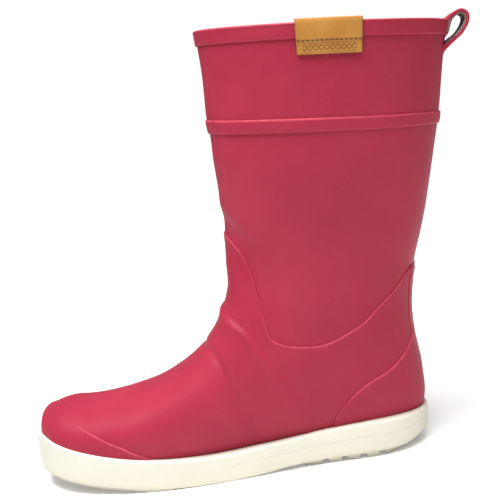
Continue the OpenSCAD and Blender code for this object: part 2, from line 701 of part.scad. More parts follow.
// Middle line of the strap in the XZ plane, from its upper foot round to its lower foot
STRAP = [[82.7, 269.4], [84.5, 272.7], [87.3, 275.1], [90.5, 275.8], [93.1, 273.9], [93.5, 270.6],
    [91.6, 266.6], [87.4, 261.8], [82.4, 257.8]];
lining_strap_t = 0.9;
strap_steps = 28;
bow_from = 1.0;         // the part between these shares turns with the hinge
bow_to = 7.0;
function strap_mid(t) = let (p = curve(STRAP, t)) [p.x * kx, high(p.y)];
function strap_normal(t) =
    let (d = strap_mid(t + 0.02) - strap_mid(t - 0.02)) [-d.y, d.x] / norm(d);
function strap_point(t, out) = strap_mid(t) + strap_normal(t) * out;
// Closed band along the strap between two distances from its middle line
function strap_band(low, high_out, t0, t1) =
    concat([for (i = [0:strap_steps]) strap_point(mix(t0, t1, i / strap_steps), high_out)],
        [for (i = [strap_steps:-1:0]) strap_point(mix(t0, t1, i / strap_steps), low)]);
module strap(low, high_out, width) {
    rotate([90, 0, 0])
        linear_extrude(width, center = true)
            polygon(strap_band(low, high_out, bow_from, bow_to));
}
strap_whole = strap_t + lining_strap_t;
module pull_loop() {
    color(red) strap(-strap_whole / 2 + lining_strap_t + 0.05, strap_whole / 2, strap_w);
}
module pull_loop_lining() {
    color(textile) strap(-strap_whole / 2, -strap_whole / 2 + lining_strap_t, strap_w - 1);
}

// The two ends of the strap, bonded flat to the shaft
module loop_anchors() {
    upper_in = band_out + gap;
    lower_in = gap;
    half_angle = asin(strap_w / 2 / (51 * ky));
    function foot(s0, s1) = [for (s = [s0, s1]) [for (j = [0:4])
        map_point(s, 180 + mix(-half_angle, half_angle, j / 4))]];
    color(red) {
        surface_patch(foot(20.74, 20.98), upper_in + 1.1, upper_in);
        surface_patch(foot(20.22, 20.6), lower_in + 1.1, lower_in);
    }
}

outsole();
foxing();
forefoot_tread();
heel_tread();
tread_inlay();
midsole_filler();
heel_wedge();
insole_board();
sock_liner();
foot_lining();
leg_lining();
vamp();
leg_shaft();
toe_cap();
toe_puff();
heel_counter();
heel_stiffener();
instep_strip();
back_strip();
calf_band();
top_band();
label();
label_stitches();
pull_loop();
pull_loop_lining();
loop_anchors();
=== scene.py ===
"""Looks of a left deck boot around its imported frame.

Lengths in the tables and in the shape code are millimetres in the part's own frame: origin under
the heel on the ground, +Z up, toe towards -X, outer side of the foot towards -Y. make_object() turns
them into metres.
"""

import math

import bpy
import numpy as np
from mathutils import Matrix, Vector


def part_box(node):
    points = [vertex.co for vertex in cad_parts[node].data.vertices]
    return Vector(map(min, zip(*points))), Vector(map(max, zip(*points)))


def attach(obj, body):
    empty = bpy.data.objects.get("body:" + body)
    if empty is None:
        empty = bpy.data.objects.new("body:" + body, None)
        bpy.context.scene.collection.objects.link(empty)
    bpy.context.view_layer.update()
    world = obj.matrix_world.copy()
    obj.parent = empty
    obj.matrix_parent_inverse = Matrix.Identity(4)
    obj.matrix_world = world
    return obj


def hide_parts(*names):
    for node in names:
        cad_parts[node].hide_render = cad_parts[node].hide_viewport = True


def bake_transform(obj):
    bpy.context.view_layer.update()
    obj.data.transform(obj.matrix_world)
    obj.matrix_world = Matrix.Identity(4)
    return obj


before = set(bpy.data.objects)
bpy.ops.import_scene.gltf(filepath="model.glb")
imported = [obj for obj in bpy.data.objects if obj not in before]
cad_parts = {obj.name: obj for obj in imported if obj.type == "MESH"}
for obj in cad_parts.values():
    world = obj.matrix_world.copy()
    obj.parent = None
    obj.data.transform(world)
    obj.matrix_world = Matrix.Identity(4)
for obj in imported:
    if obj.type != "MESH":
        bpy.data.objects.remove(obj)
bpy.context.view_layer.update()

MM = 0.001

# ---- Sizes from the frame

foxing_low, foxing_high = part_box("foxing")
leg_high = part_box("leg_shaft")[1]
DESIGN_LENGTH = 0.275
DESIGN_WIDTH = 0.1039
DESIGN_HEIGHT = 0.290
FOOT_ZONE = 60.0
KX = (foxing_high.x - foxing_low.x) / DESIGN_LENGTH
KY = (foxing_high.y - foxing_low.y) / DESIGN_WIDTH
KZ = (leg_high.z / MM - FOOT_ZONE) / (DESIGN_HEIGHT / MM - FOOT_ZONE)

RUBBER = 1.8        # leg and vamp sheet
STEP = 1.0          # the vamp stands this far proud of the leg
OVERLAY = 0.95      # toe cap and heel counter above the vamp
BAND = 1.2          # calf band and top band above the leg
LINING = 0.9

# ---- Curves


def smooth(t):
    """0 to 1 with level ends."""
    t = np.clip(t, 0.0, 1.0)
    return t * t * (3 - 2 * t)


def rounded(t):
    """0 to 1 along a quarter circle that starts steep and ends level."""
    return np.sqrt(np.clip(1 - (1 - np.clip(t, 0, 1)) ** 2, 0, 1))


def mix(a, b, t):
    return a + (b - a) * t


def spline(before, a, b, after, u):
    """Uniform Catmull-Rom value between a and b."""
    return 0.5 * (2 * a + (b - before) * u + (2 * before - 5 * a + 4 * b - after) * u**2
                  + (3 * a - before - 3 * b + after) * u**3)


def curve(points, t):
    """Points at the values t on a smooth open curve; the ends are reflected."""
    p = np.asarray(points, float)
    p = np.vstack([2 * p[0] - p[1], p, 2 * p[-1] - p[-2]])
    t = np.asarray(t, float)
    i = np.clip(np.floor(t).astype(int), 0, len(p) - 4)
    u = (t - i)[..., None]
    return spline(p[i], p[i + 1], p[i + 2], p[i + 3], u)


def closed_curve(points, steps):
    """A smooth closed curve through the points, with this many steps per point."""
    p = np.asarray(points, float)
    t = np.arange(len(p) * steps) / steps
    i = np.floor(t).astype(int)
    n = len(p)
    return spline(p[i - 1], p[i], p[(i + 1) % n], p[(i + 2) % n], (t - i)[:, None])


def run_lengths(line):
    return np.concatenate([[0], np.cumsum(np.linalg.norm(np.diff(line, axis=0), axis=1))])


def resample(line, shares, along=None):
    """The polyline at these shares of its length; along gives the line that is measured."""
    c = run_lengths(line if along is None else along)
    return np.stack([np.interp(np.asarray(shares) * c[-1], c, line[:, k])
                     for k in range(line.shape[1])], -1)


def evenly(line, n):
    """n + 1 map points along a line of the map, evenly spaced on the boot."""
    return resample(line, np.linspace(0, 1, n + 1), surface(line))


def around(outer, inner):
    """Closed loop from two lines that both run the same way."""
    return np.concatenate([outer, inner[-2:0:-1]])


def profile(rows, x):
    """Smooth value at x of a table of [x, value] rows."""
    rows = np.asarray(rows, float)
    before, after = np.vstack([rows[:1], rows[:-1]]), np.vstack([rows[1:], rows[-1:]])
    slope = (after[:, 1] - before[:, 1]) / (after[:, 0] - before[:, 0])
    i = np.clip(np.searchsorted(rows[:, 0], x) - 1, 0, len(rows) - 2)
    h = rows[i + 1, 0] - rows[i, 0]
    u = np.clip((x - rows[i, 0]) / h, 0, 1)
    return (mix(rows[i, 1], rows[i + 1, 1], smooth(u))
            + h * u * (1 - u) * (slope[i] * (1 - u) - slope[i + 1] * u))


# ---- Outer surface of the boot

# Front or top point [x, z], back or bottom point [x, z], half width, sideways shift, squareness
SECTIONS = np.array([
    [-230, 33, -230, 33, 0, 8, 0.86],
    [-228, 48, -228, 22, 17, 8, 0.86],
    [-222, 51, -222, 12, 28, 7.5, 0.86],
    [-210, 53.5, -211, 7, 37, 6, 0.86],
    [-190, 53, -192, 4, 43, 4.8, 0.86],
    [-165, 56, -168, 2, 46.7, 3.5, 0.86],
    [-140, 63, -143, 1, 47.3, 1.9, 0.87],
    [-115, 77, -115, 1, 44.6, -0.2, 0.88],
    [-96, 95, -85, 1, 41, -1, 0.90],
    [-84, 120, -50, 0, 38.5, -1, 0.93],
    [-82, 138, -12, 1, 37, -0.5, 0.95],
    [-81, 150, 18, 5, 36.5, 0, 0.97],
    [-80.5, 160, 35.5, 24, 36.5, 0, 0.98],
    [-79.5, 169, 38, 50, 37, 0, 1],
    [-80, 178, 36, 80, 38, 0, 1],
    [-79.5, 187, 39.5, 108, 40, 0, 1],
    [-79.5, 197, 49.5, 140, 43, 0, 1],
    [-79.5, 208, 58.5, 172, 46, 0, 1],
    [-79, 222, 67.5, 205.5, 48, 0, 1],
    [-79.5, 236, 71, 220, 49, 0, 1],
    [-78, 262, 76, 245, 50, 0, 1],
    [-78.5, 290, 82, 272, 51, 0, 1]])
RIM = len(SECTIONS) - 1
NOSE = SECTIONS[1] * [1, 0, 1, 0, -1, 1, 1] + SECTIONS[0] * [0, 2, 0, 2, 0, 0, 0] \
    - SECTIONS[1] * [0, 1, 0, 1, 0, 0, 0]
SECTION_TABLE = np.vstack([NOSE, SECTIONS, 2 * SECTIONS[-1] - SECTIONS[-2]])


def raised_height(z):
    return np.where(z <= FOOT_ZONE, z, FOOT_ZONE + (z - FOOT_ZONE) * KZ)


def section(s):
    i = np.clip(np.floor(s).astype(int), 0, RIM - 1)
    u = (s - i)[..., None]
    p = SECTION_TABLE
    c = spline(p[i], p[i + 1], p[i + 2], p[i + 3], u)
    return np.stack([c[..., 0] * KX, raised_height(c[..., 1]), c[..., 2] * KX,
                     raised_height(c[..., 3]), c[..., 4] * KY, c[..., 5] * KY, c[..., 6]], -1)


def signed_power(v, e):
    return np.sign(v) * np.abs(v) ** e


def surface(m):
    """3-D points of map points: a map point's length is its station and its direction is its
    angle round the section, 0 at the front."""
    s = np.hypot(m[..., 0], m[..., 1])
    a = np.arctan2(m[..., 1], m[..., 0])
    c = section(s)
    ca, sa = signed_power(np.cos(a), c[..., 6]), signed_power(np.sin(a), c[..., 6])
    return np.stack([(c[..., 0] + c[..., 2]) / 2 + (c[..., 0] - c[..., 2]) / 2 * ca,
                     c[..., 5] + c[..., 4] * sa,
                     (c[..., 1] + c[..., 3]) / 2 + (c[..., 1] - c[..., 3]) / 2 * ca], -1)


def normal(m):
    e = 0.03
    du, dv = np.array([e, 0.0]), np.array([0.0, e])
    n = np.cross(surface(m + du) - surface(m - du), surface(m + dv) - surface(m - dv))
    return n / np.linalg.norm(n, axis=-1, keepdims=True)


def skin(m, depth):
    """Points at a height above the surface, given as one number or one for each map point."""
    return surface(m) + normal(m) * np.broadcast_to(depth, m.shape[:-1])[..., None]


def map_point(s, degrees):
    a = np.radians(degrees)
    return np.stack(np.broadcast_arrays(s * np.cos(a), s * np.sin(a)), -1)


# Edge lines on one side of the map, as [angle, station] rows
VAMP_EDGE = [[0, 11.8], [35, 11.9], [48, 11.3], [60, 10.5], [72, 10.05], [80, 10.25],
             [90, 11.25], [104, 12.6], [130, 14.1], [158, 15.2], [180, 15.4]]
CAP_EDGE = [[0, 3.12], [22, 3.22], [40, 3.46], [52, 3.81], [63, 4.16], [80, 4.75], [90.5, 5.22],
            [102, 5.68], [113, 6.0]]
COUNTER_EDGE = [[180, 14.22], [171, 13.93], [158, 13.6], [146, 13.2], [135, 12.7], [124.5, 12.1],
                [118, 11.5], [116.6, 10.95], [119.4, 10.52], [124, 10.18], [130, 9.96], [138, 9.8]]
STRIP_FRONT = [[0, 7.53], [20, 7.65], [42, 8.0], [62, 8.2], [80, 8.3], [95, 8.42], [110, 8.45],
               [140, 8.42]]
STRIP_REAR = [[0, 8.58], [20, 8.62], [42, 8.85], [62, 9.25], [80, 9.48], [95, 9.6], [108, 9.58],
              [140, 9.5]]


def edge_line(rows, n):
    """n + 1 map points along an edge line, on the inner side, evenly spaced on the boot."""
    r = curve(rows, np.linspace(0, len(rows) - 1, 400))
    return evenly(map_point(r[:, 1], r[:, 0]), n)


# ---- Level lines round the foot

SPRING_START, TOE_X, HEEL_X, LIFT_START = -140 * KX, -236 * KX, 39 * KX, 8 * KX
TOE_SPRING, HEEL_LIFT = 13.5, 6.5
FEATHER = 12.0


def spring(x):
    share = np.clip((SPRING_START - x) / (SPRING_START - TOE_X), 0, None)
    return TOE_SPRING * share**1.6


def rise(x):
    return spring(x) + HEEL_LIFT * np.clip((x - LIFT_START) / (HEEL_X - LIFT_START), 0, None) ** 2


def feather_z(x):
    return FEATHER + spring(x)


WALL = [[-236, 40.5], [-220, 36.9], [-202, 31.4], [-180, 26.3], [-153, 21.7], [-127, 19],
        [-98, 17.9], [-65, 19.7], [-30, 22.6], [0, 24], [39, 23]]
WALL_BASE = [[-170, 2], [-125, 0.4], [-98, 0.2], [-78, 1], [-54, 3], [-30, 3.9], [-8, 4.4], [40, 4.4]]


def wall_z(x):
    return profile(WALL, x / KX)


def wall_bottom(x):
    return profile(WALL_BASE, x / KX) + rise(x)


def level_share(c, zf):
    """Share of each section's half height at which its surface meets the line of height zf(x)."""
    mid_x, half_x = (c[..., 0] + c[..., 2]) / 2, (c[..., 0] - c[..., 2]) / 2
    mid_z, half_z = (c[..., 1] + c[..., 3]) / 2, (c[..., 1] - c[..., 3]) / 2
    x = mid_x
    for _ in range(5):
        r = (zf(x) - mid_z) / half_z
        x = mid_x + half_x * np.clip(r, -1, 1)
    return r


def level_line(zf, n=260):
    """Map points from toe to heel, on the inner side, where the surface has the height zf(x)."""
    def end(low, high, rising):
        for _ in range(40):
            m = (low + high) / 2
            if (abs(level_share(section(np.array(m)), zf)) > 1) == rising:
                high = m
            else:
                low = m
        return (low + high) / 2

    s0, s1 = end(0.02, 4.0, False), end(10.5, 14.5, True)
    s = mix(s0, s1, (1 - np.cos(np.linspace(0, math.pi, n + 1))) / 2)
    c = section(s)
    a = np.arccos(signed_power(np.clip(level_share(c, zf), -1, 1), 1 / c[:, 6]))
    return map_point(s, np.degrees(a))


def even_level(zf, n, t0=0.0, t1=1.0):
    line = level_line(zf)
    return resample(line, np.linspace(t0, t1, n + 1), surface(line))


# ---- Meshes


def link(obj):
    bpy.context.scene.collection.objects.link(obj)


def make_object(name, points, faces, values=None):
    """Mesh object from points in millimetres and a list of face arrays, with outward normals."""
    points = np.asarray(points, float) * MM
    faces = np.concatenate(faces)
    mesh = bpy.data.meshes.new(name)
    mesh.from_pydata(points.tolist(), [], faces.tolist())
    mesh.update()
    a, b, c, d = [points[faces[:, k]] for k in range(4)]
    centre = points.mean(0)
    volume = (np.einsum("ij,ij->i", a - centre, np.cross(b - centre, c - centre))
              + np.einsum("ij,ij->i", a - centre, np.cross(c - centre, d - centre))).sum()
    if volume < 0:
        mesh.flip_normals()
    mesh.set_sharp_from_angle(angle=math.radians(50))
    for key, value in (values or {}).items():
        layer = mesh.attributes.new(key, "FLOAT", "POINT")
        layer.data.foreach_set("value", np.asarray(value, np.float32).ravel())
    obj = bpy.data.objects.new(name, mesh)
    link(obj)
    return obj


def grid_faces(rows, cols, wrap_rows=False, wrap_cols=False, start=0):
    i = np.arange(rows if wrap_rows else rows - 1)
    j = np.arange(cols if wrap_cols else cols - 1)
    i, j = np.meshgrid(i, j, indexing="ij")
    i2, j2 = (i + 1) % rows, (j + 1) % cols
    quad = np.stack([i * cols + j, i * cols + j2, i2 * cols + j2, i2 * cols + j], -1)
    return quad.reshape(-1, 4) + start


def ring_object(name, rows, values=None):
    """Closed ring: rows is (R, C, 3), and both directions close on themselves."""
    rows = np.asarray(rows)
    return make_object(name, rows.reshape(-1, 3),
                       [grid_faces(rows.shape[0], rows.shape[1], True, True)], values)


def slab_parts(top, bottom, start=0):
    """Points and faces of a closed slab between two grids."""
    r, c = top.shape[:2]
    k = r * c
    rim = np.concatenate([np.arange(c), np.arange(1, r) * c + c - 1,
                          (r - 1) * c + np.arange(c - 2, -1, -1), np.arange(r - 2, 0, -1) * c])
    nxt = np.roll(rim, -1)
    walls = np.stack([nxt, rim, rim + k, nxt + k], -1)
    faces = np.concatenate([grid_faces(r, c), grid_faces(r, c)[:, ::-1] + k, walls])
    return np.concatenate([top.reshape(-1, 3), bottom.reshape(-1, 3)]), faces + start


def slab_object(name, top, bottom, values=None):
    points, faces = slab_parts(top, bottom)
    return make_object(name, points, [faces], values)


def tube_faces(rows, cols, start=0):
    """Faces of a bar of closed cross sections, with fans of quads at both ends."""
    k = np.arange(cols // 2 - 1)
    quad = np.stack([k, k + 1, cols - 2 - k, cols - 1 - k], -1) + start
    return [grid_faces(rows, cols, False, True, start), quad[:, ::-1], quad + (rows - 1) * cols]


def tube_object(name, rows, values=None):
    return make_object(name, rows.reshape(-1, 3), tube_faces(*rows.shape[:2]), values)


def dress(obj, material, *nodes):
    """Give a piece its material and the CAD nodes that it replaces."""
    obj.data.materials.append(material)
    if nodes:
        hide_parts(*nodes)


def finish_piece(obj, material, *nodes):
    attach(obj, "boot")
    dress(obj, material, *nodes)


def ripple(points, size, height, seed):
    """Gentle unevenness of hand-laid rubber: a few sine waves through space."""
    rng = np.random.default_rng(seed)
    total = np.zeros(points.shape[:-1])
    for _ in range(6):
        direction = rng.normal(size=3)
        direction /= np.linalg.norm(direction)
        wave = size * rng.uniform(0.7, 1.6)
        total += np.sin(points @ direction * 2 * math.pi / wave + rng.uniform(0, 6.3))
    return total * height / 6


FOOT_RIPPLE = (34, 0.12, 3)     # size, height and seed; shared by the vamp and what lies on it

# ---- Materials


def set_inputs(tree, target, inputs):
    """Link or set a node's inputs, by name or by number."""
    for key, value in inputs.items():
        if isinstance(value, bpy.types.NodeSocket):
            tree.links.new(value, target.inputs[key])
        else:
            target.inputs[key].default_value = value


def node(tree, kind, inputs=None, **settings):
    n = tree.nodes.new(kind)
    for key, value in settings.items():
        setattr(n, key, value)
    set_inputs(tree, n, inputs or {})
    return n


def start_material(name):
    material = bpy.data.materials.new(name)
    material.use_nodes = True
    tree = material.node_tree
    shader = tree.nodes["Principled BSDF"]
    coords = node(tree, "ShaderNodeTexCoord").outputs["Object"]
    return material, tree, shader, coords


def linear(r, g, b):
    """Scene colour of an sRGB colour given in 0 to 255."""
    c = np.array([r, g, b]) / 255
    c = np.where(c <= 0.04045, c / 12.92, ((c + 0.055) / 1.055) ** 2.4)
    return (*c, 1.0)


def noise(tree, coords, scale, detail=3.0, roughness=0.5):
    return node(tree, "ShaderNodeTexNoise", {"Vector": coords, "Scale": scale, "Detail": detail,
                                             "Roughness": roughness}).outputs["Fac"]


def ramp(tree, value, low, high, out_low=0.0, out_high=1.0):
    return node(tree, "ShaderNodeMapRange", {"Value": value, "From Min": low, "From Max": high,
                                             "To Min": out_low, "To Max": out_high}).outputs["Result"]


def colour_mix(tree, factor, a, b):
    return node(tree, "ShaderNodeMix", {0: factor, 6: a, 7: b}, data_type="RGBA").outputs[2]


def math_node(tree, operation, a, b=0.0):
    return node(tree, "ShaderNodeMath", {0: a, 1: b}, operation=operation).outputs[0]


def bump(tree, height, strength, distance, under=None):
    inputs = {"Height": height, "Strength": strength, "Distance": distance}
    if under is not None:
        inputs["Normal"] = under
    return node(tree, "ShaderNodeBump", inputs).outputs["Normal"]


def attribute(tree, name):
    return node(tree, "ShaderNodeAttribute", attribute_name=name).outputs["Fac"]


def rubber_material(name, dark, light, edge, roughness):
    """Satin rubber: cloudy colour, fine orange peel and slightly lighter edges, partly edge wear and
    partly painted highlight.
    """
    material, tree, shader, coords = start_material(name)
    cloud = ramp(tree, noise(tree, coords, 16.0, 4.0), 0.35, 0.68)
    fine = noise(tree, coords, 950.0, 2.0)
    grain = noise(tree, coords, 240.0, 3.0)
    colour = colour_mix(tree, cloud, dark, light)
    speck = ramp(tree, noise(tree, coords, 420.0, 2.0), 0.62, 0.75, 0.0, 0.10)
    colour = colour_mix(tree, speck, colour, edge)
    # Lighter colour along the raised edges: partly edge wear, partly a painted highlight where light
    # catches the edges.
    edge_wear_and_highlight = math_node(tree, "MULTIPLY", attribute(tree, "edge"),
                     ramp(tree, grain, 0.3, 0.7, 0.25, 0.7))
    colour = colour_mix(tree, edge_wear_and_highlight, colour, edge)
    rough = ramp(tree, noise(tree, coords, 70.0, 3.0), 0.3, 0.7, roughness - 0.05, roughness + 0.06)
    relief = bump(tree, grain, 0.10, 0.00035)
    relief = bump(tree, fine, 0.25, 0.00012, relief)
    set_inputs(tree, shader, {"Base Color": colour, "Roughness": rough, "Specular IOR Level": 0.16,
                              "Normal": relief})
    return material


def cream_rubber():
    """Matt cream sole rubber, a little yellower low down, with painted shade in its grooves and
    recesses.
    """
    material, tree, shader, coords = start_material("cream_rubber")
    cloud = ramp(tree, noise(tree, coords, 22.0, 4.0), 0.3, 0.7)
    colour = colour_mix(tree, cloud, linear(221, 218, 202), linear(226, 224, 210))
    height = node(tree, "ShaderNodeSeparateXYZ", {"Vector": coords}).outputs["Z"]
    low_down = ramp(tree, height, 0.0, 0.02, 0.55, 0.0)
    colour = colour_mix(tree, low_down, colour, linear(219, 213, 188))
    # Painted shade: greyer in grooves and on undersides, dark olive in the recess behind the toe's
    # teeth.
    groove = attribute(tree, "groove")
    colour = colour_mix(tree, ramp(tree, groove, 0.0, 1.0), colour, linear(186, 184, 162))
    colour = colour_mix(tree, ramp(tree, groove, 1.0, 2.0), colour, linear(112, 108, 80))
    rough = ramp(tree, noise(tree, coords, 90.0), 0.3, 0.7, 0.5, 0.62)
    relief = bump(tree, noise(tree, coords, 300.0, 3.0), 0.12, 0.0003)
    relief = bump(tree, noise(tree, coords, 1400.0, 2.0), 0.25, 0.0001, relief)
    set_inputs(tree, shader, {"Base Color": colour, "Roughness": rough, "Specular IOR Level": 0.35,
                              "Normal": relief})
    return material


def leather_material():
    """Smooth tan leather with fine pores, burnished edges and stamped marks."""
    material, tree, shader, coords = start_material("tan_leather")
    cloud = ramp(tree, noise(tree, coords, 60.0, 5.0, 0.6), 0.3, 0.7)
    colour = colour_mix(tree, cloud, linear(176, 118, 46), linear(194, 138, 64))
    pores = node(tree, "ShaderNodeTexVoronoi", {"Vector": coords, "Scale": 1500.0}).outputs["Distance"]
    fleck = ramp(tree, pores, 0.0, 0.35, 0.35, 0.0)
    colour = colour_mix(tree, fleck, colour, linear(150, 96, 40))
    colour = colour_mix(tree, attribute(tree, "edge"), colour, linear(120, 74, 34))
    colour = colour_mix(tree, attribute(tree, "stamp"), colour, linear(66, 34, 22))
    relief = bump(tree, pores, 0.3, 0.00012)
    relief = bump(tree, noise(tree, coords, 260.0, 4.0), 0.2, 0.0003, relief)
    set_inputs(tree, shader, {"Base Color": colour, "Roughness": 0.52, "Specular IOR Level": 0.35,
                              "Normal": relief})
    return material


def thread_material():
    """Waxed thread: a tight twist along the row of stitches."""
    material, tree, shader, coords = start_material("waxed_thread")
    twist = node(tree, "ShaderNodeTexWave", {"Vector": coords, "Scale": 900.0, "Distortion": 0.0},
                 bands_direction="DIAGONAL")
    colour = colour_mix(tree, twist.outputs["Fac"], linear(48, 28, 20), linear(92, 58, 40))
    relief = bump(tree, twist.outputs["Fac"], 0.6, 0.0001)
    set_inputs(tree, shader, {"Base Color": colour, "Roughness": 0.6, "Normal": relief})
    return material


def knit_material(name, dark, light, pitch):
    """Textile whose loops follow the shape, from its own across and along coordinates in mm."""
    material, tree, shader, coords = start_material(name)
    across = math_node(tree, "MULTIPLY", attribute(tree, "across"), 2 * math.pi / pitch)
    along = math_node(tree, "MULTIPLY", attribute(tree, "along"), 2 * math.pi / pitch)
    rib = math_node(tree, "SINE", across)
    slant = math_node(tree, "SINE", math_node(tree, "ADD", along,
                                              math_node(tree, "MULTIPLY", rib, 1.6)))
    rib_height = math_node(tree, "ABSOLUTE", rib)
    height = math_node(tree, "ADD", math_node(tree, "MULTIPLY", rib_height, 0.7),
                       math_node(tree, "MULTIPLY", slant, 0.35))
    fuzz = noise(tree, coords, 800.0, 4.0, 0.7)
    tone = math_node(tree, "ADD", ramp(tree, height, -0.3, 1.0, 0.0, 0.7),
                     math_node(tree, "MULTIPLY", fuzz, 0.35))
    colour = colour_mix(tree, tone, dark, light)
    relief = bump(tree, height, 0.8, 0.00035)
    relief = bump(tree, fuzz, 0.3, 0.0002, relief)
    set_inputs(tree, shader, {"Base Color": colour, "Roughness": 0.92, "Sheen Weight": 0.25,
                              "Sheen Roughness": 0.6, "Normal": relief})
    return material


def board_material():
    """Pressed fibre board: flecked, matt and slightly rough."""
    material, tree, shader, coords = start_material("fibre_board")
    fibres = noise(tree, coords, 180.0, 8.0, 0.75)
    colour = colour_mix(tree, ramp(tree, fibres, 0.3, 0.7), linear(150, 128, 100),
                        linear(188, 168, 136))
    set_inputs(tree, shader, {"Base Color": colour, "Roughness": 0.85,
                              "Normal": bump(tree, fibres, 0.4, 0.0004)})
    return material


def foam_material():
    """Cellular rubber: grey with small open cells."""
    material, tree, shader, coords = start_material("cellular_rubber")
    cells = node(tree, "ShaderNodeTexVoronoi", {"Vector": coords, "Scale": 650.0}).outputs["Distance"]
    colour = colour_mix(tree, ramp(tree, cells, 0.1, 0.6), linear(84, 84, 82), linear(128, 128, 124))
    set_inputs(tree, shader, {"Base Color": colour, "Roughness": 0.9,
                              "Normal": bump(tree, cells, 0.6, 0.0006)})
    return material


RED = rubber_material("red_rubber", (0.345, 0.024, 0.051, 1), (0.401, 0.031, 0.061, 1),
                      (0.62, 0.09, 0.14, 1), 0.42)
CREAM = cream_rubber()
INLAY = rubber_material("inlay_rubber", linear(205, 56, 76), linear(214, 68, 88),
                        linear(236, 120, 132), 0.5)
LEATHER = leather_material()
THREAD = thread_material()
KNIT = knit_material("cotton_knit", linear(118, 104, 92), linear(186, 172, 154), 1.3)
FOOTBED = knit_material("footbed_fabric", linear(52, 48, 48), linear(104, 98, 96), 0.9)
TAPE = knit_material("woven_tape", linear(92, 76, 70), linear(150, 128, 118), 0.8)
BOARD = board_material()
FOAM = foam_material()

# ---- Vamp

VAMP_HALF = 170
feather_line = even_level(feather_z, VAMP_HALF)
vamp_line = edge_line(VAMP_EDGE, VAMP_HALF)
FEATHER_LOOP = around(feather_line, feather_line * [1, -1])
VAMP_LOOP = around(vamp_line, vamp_line * [1, -1])


def vamp_map(v):
    """Map points of the vamp: v is 0 at the lasted edge and 1 at the top edge."""
    return mix(FEATHER_LOOP, VAMP_LOOP, np.asarray(v)[..., None])


VAMP_LENGTH = sum(np.linalg.norm(surface(vamp_map(b)) - surface(vamp_map(a)), axis=-1)
                  for a, b in zip(np.arange(0, 1, 0.05), np.arange(0.05, 1.01, 0.05)))


def spread(start, end, rows):
    """Rows of even shares, with a column for each point of the vamp's loops."""
    return np.linspace(start, end, rows)[:, None] * np.ones(len(VAMP_LOOP))


def strip_relief(m):
    """Height of the soft ridge that the reinforcement strip makes under the vamp."""
    s = np.hypot(m[..., 0], m[..., 1])
    a = np.abs(np.degrees(np.arctan2(m[..., 1], m[..., 0])))
    front, rear = [np.interp(a, *curve(rows, np.linspace(0, 7, 60)).T)
                   for rows in (STRIP_FRONT, STRIP_REAR)]
    plateau = 0.9 * smooth((s - front) / 0.13 + 0.5) * (1 - smooth((s - rear) / 0.16 + 0.5))
    bead = 0.8 * np.exp(-((s - rear + 0.11) / 0.11) ** 2)
    crease = 0.75 * np.exp(-((s - front + 0.09) / 0.1) ** 2)
    fade = smooth((150 - a) / 40)
    return (plateau + bead - crease) * fade


def build_vamp():
    rows = 190
    m = vamp_map(spread(0, 1, rows) * (1 - 1.2 / VAMP_LENGTH))
    outer = skin(m, strip_relief(m) + ripple(surface(m), *FOOT_RIPPLE))
    # Distance from the top edge and height
    edge_shape = [(0.7, 0.0), (0.35, -0.05), (0.12, -0.18), (0.0, -0.42), (0.0, -1.15)]
    rim = [skin(vamp_map(1 - d / VAMP_LENGTH), h) for d, h in edge_shape]
    inner = skin(vamp_map(spread(0.96, 0.0, 26)), -STEP - RUBBER)
    stack = np.concatenate([outer, rim, inner])
    edge = np.zeros(stack.shape[:2])
    # Painted highlight, partly edge wear: the vamp's rounded top edge takes the lighter edge colour.
    edge[rows - 1:rows + 4] = np.array([0.25, 0.6, 0.9, 1.0, 0.6])[:, None]
    obj = ring_object("vamp_shell", stack, {"edge": edge})
    finish_piece(obj, RED, "vamp")


# ---- Leg

LEG_START = 1 - 6.0 / VAMP_LENGTH       # the leg sheet begins 6 mm under the vamp
RISE_FROM, RISE_SHARE = 0.06, 0.20


def leg_map(w):
    """Map points of the leg: w is 0 at its lower edge and 1 at the rim."""
    low = vamp_map(LEG_START)
    rim_angles = np.degrees(np.unwrap(np.arctan2(low[:, 1], low[:, 0])))
    even = np.linspace(0, 360, len(low), endpoint=False)
    high = map_point(RIM, mix(rim_angles, even, 0.5))
    return mix(low, high, np.asarray(w)[..., None])


def leg_dip(w):
    return -STEP * (1 - smooth((np.asarray(w) - RISE_FROM) / RISE_SHARE))


def build_leg():
    w = spread(0, 1, 150)
    m = leg_map(w)
    outer = skin(m, leg_dip(w) + ripple(surface(m), 60, 0.22, 5) * smooth(w * 6))
    wi = spread(1, 0, 20)
    inner = skin(leg_map(wi), leg_dip(wi) - RUBBER)
    obj = ring_object("leg_sheet", np.concatenate([outer, inner]))
    finish_piece(obj, RED, "leg_shaft")


BAND_ANGLES = np.linspace(0, 360, 360, endpoint=False)


def station_speed(s, angles):
    """Millimetres of surface per station step."""
    e = 0.02
    return np.linalg.norm(surface(map_point(s + e, angles)) - surface(map_point(s - e, angles)),
                          axis=-1) / (2 * e)


def band_rows(s_low, shape, seed, settle=np.inf):
    """Rows of a band whose cross section is (distance above the lower edge, height) in mm.

    Its lower edge wanders a little; the wander has died out at the distance settle.
    """
    speed = station_speed(s_low + 0.15, BAND_ANGLES)
    wander = ripple(surface(map_point(s_low, BAND_ANGLES)), 45, 0.22, seed)
    return [skin(map_point(s_low + (d + wander * (1 - d / settle)) / speed, BAND_ANGLES), h)
            for d, h in shape]


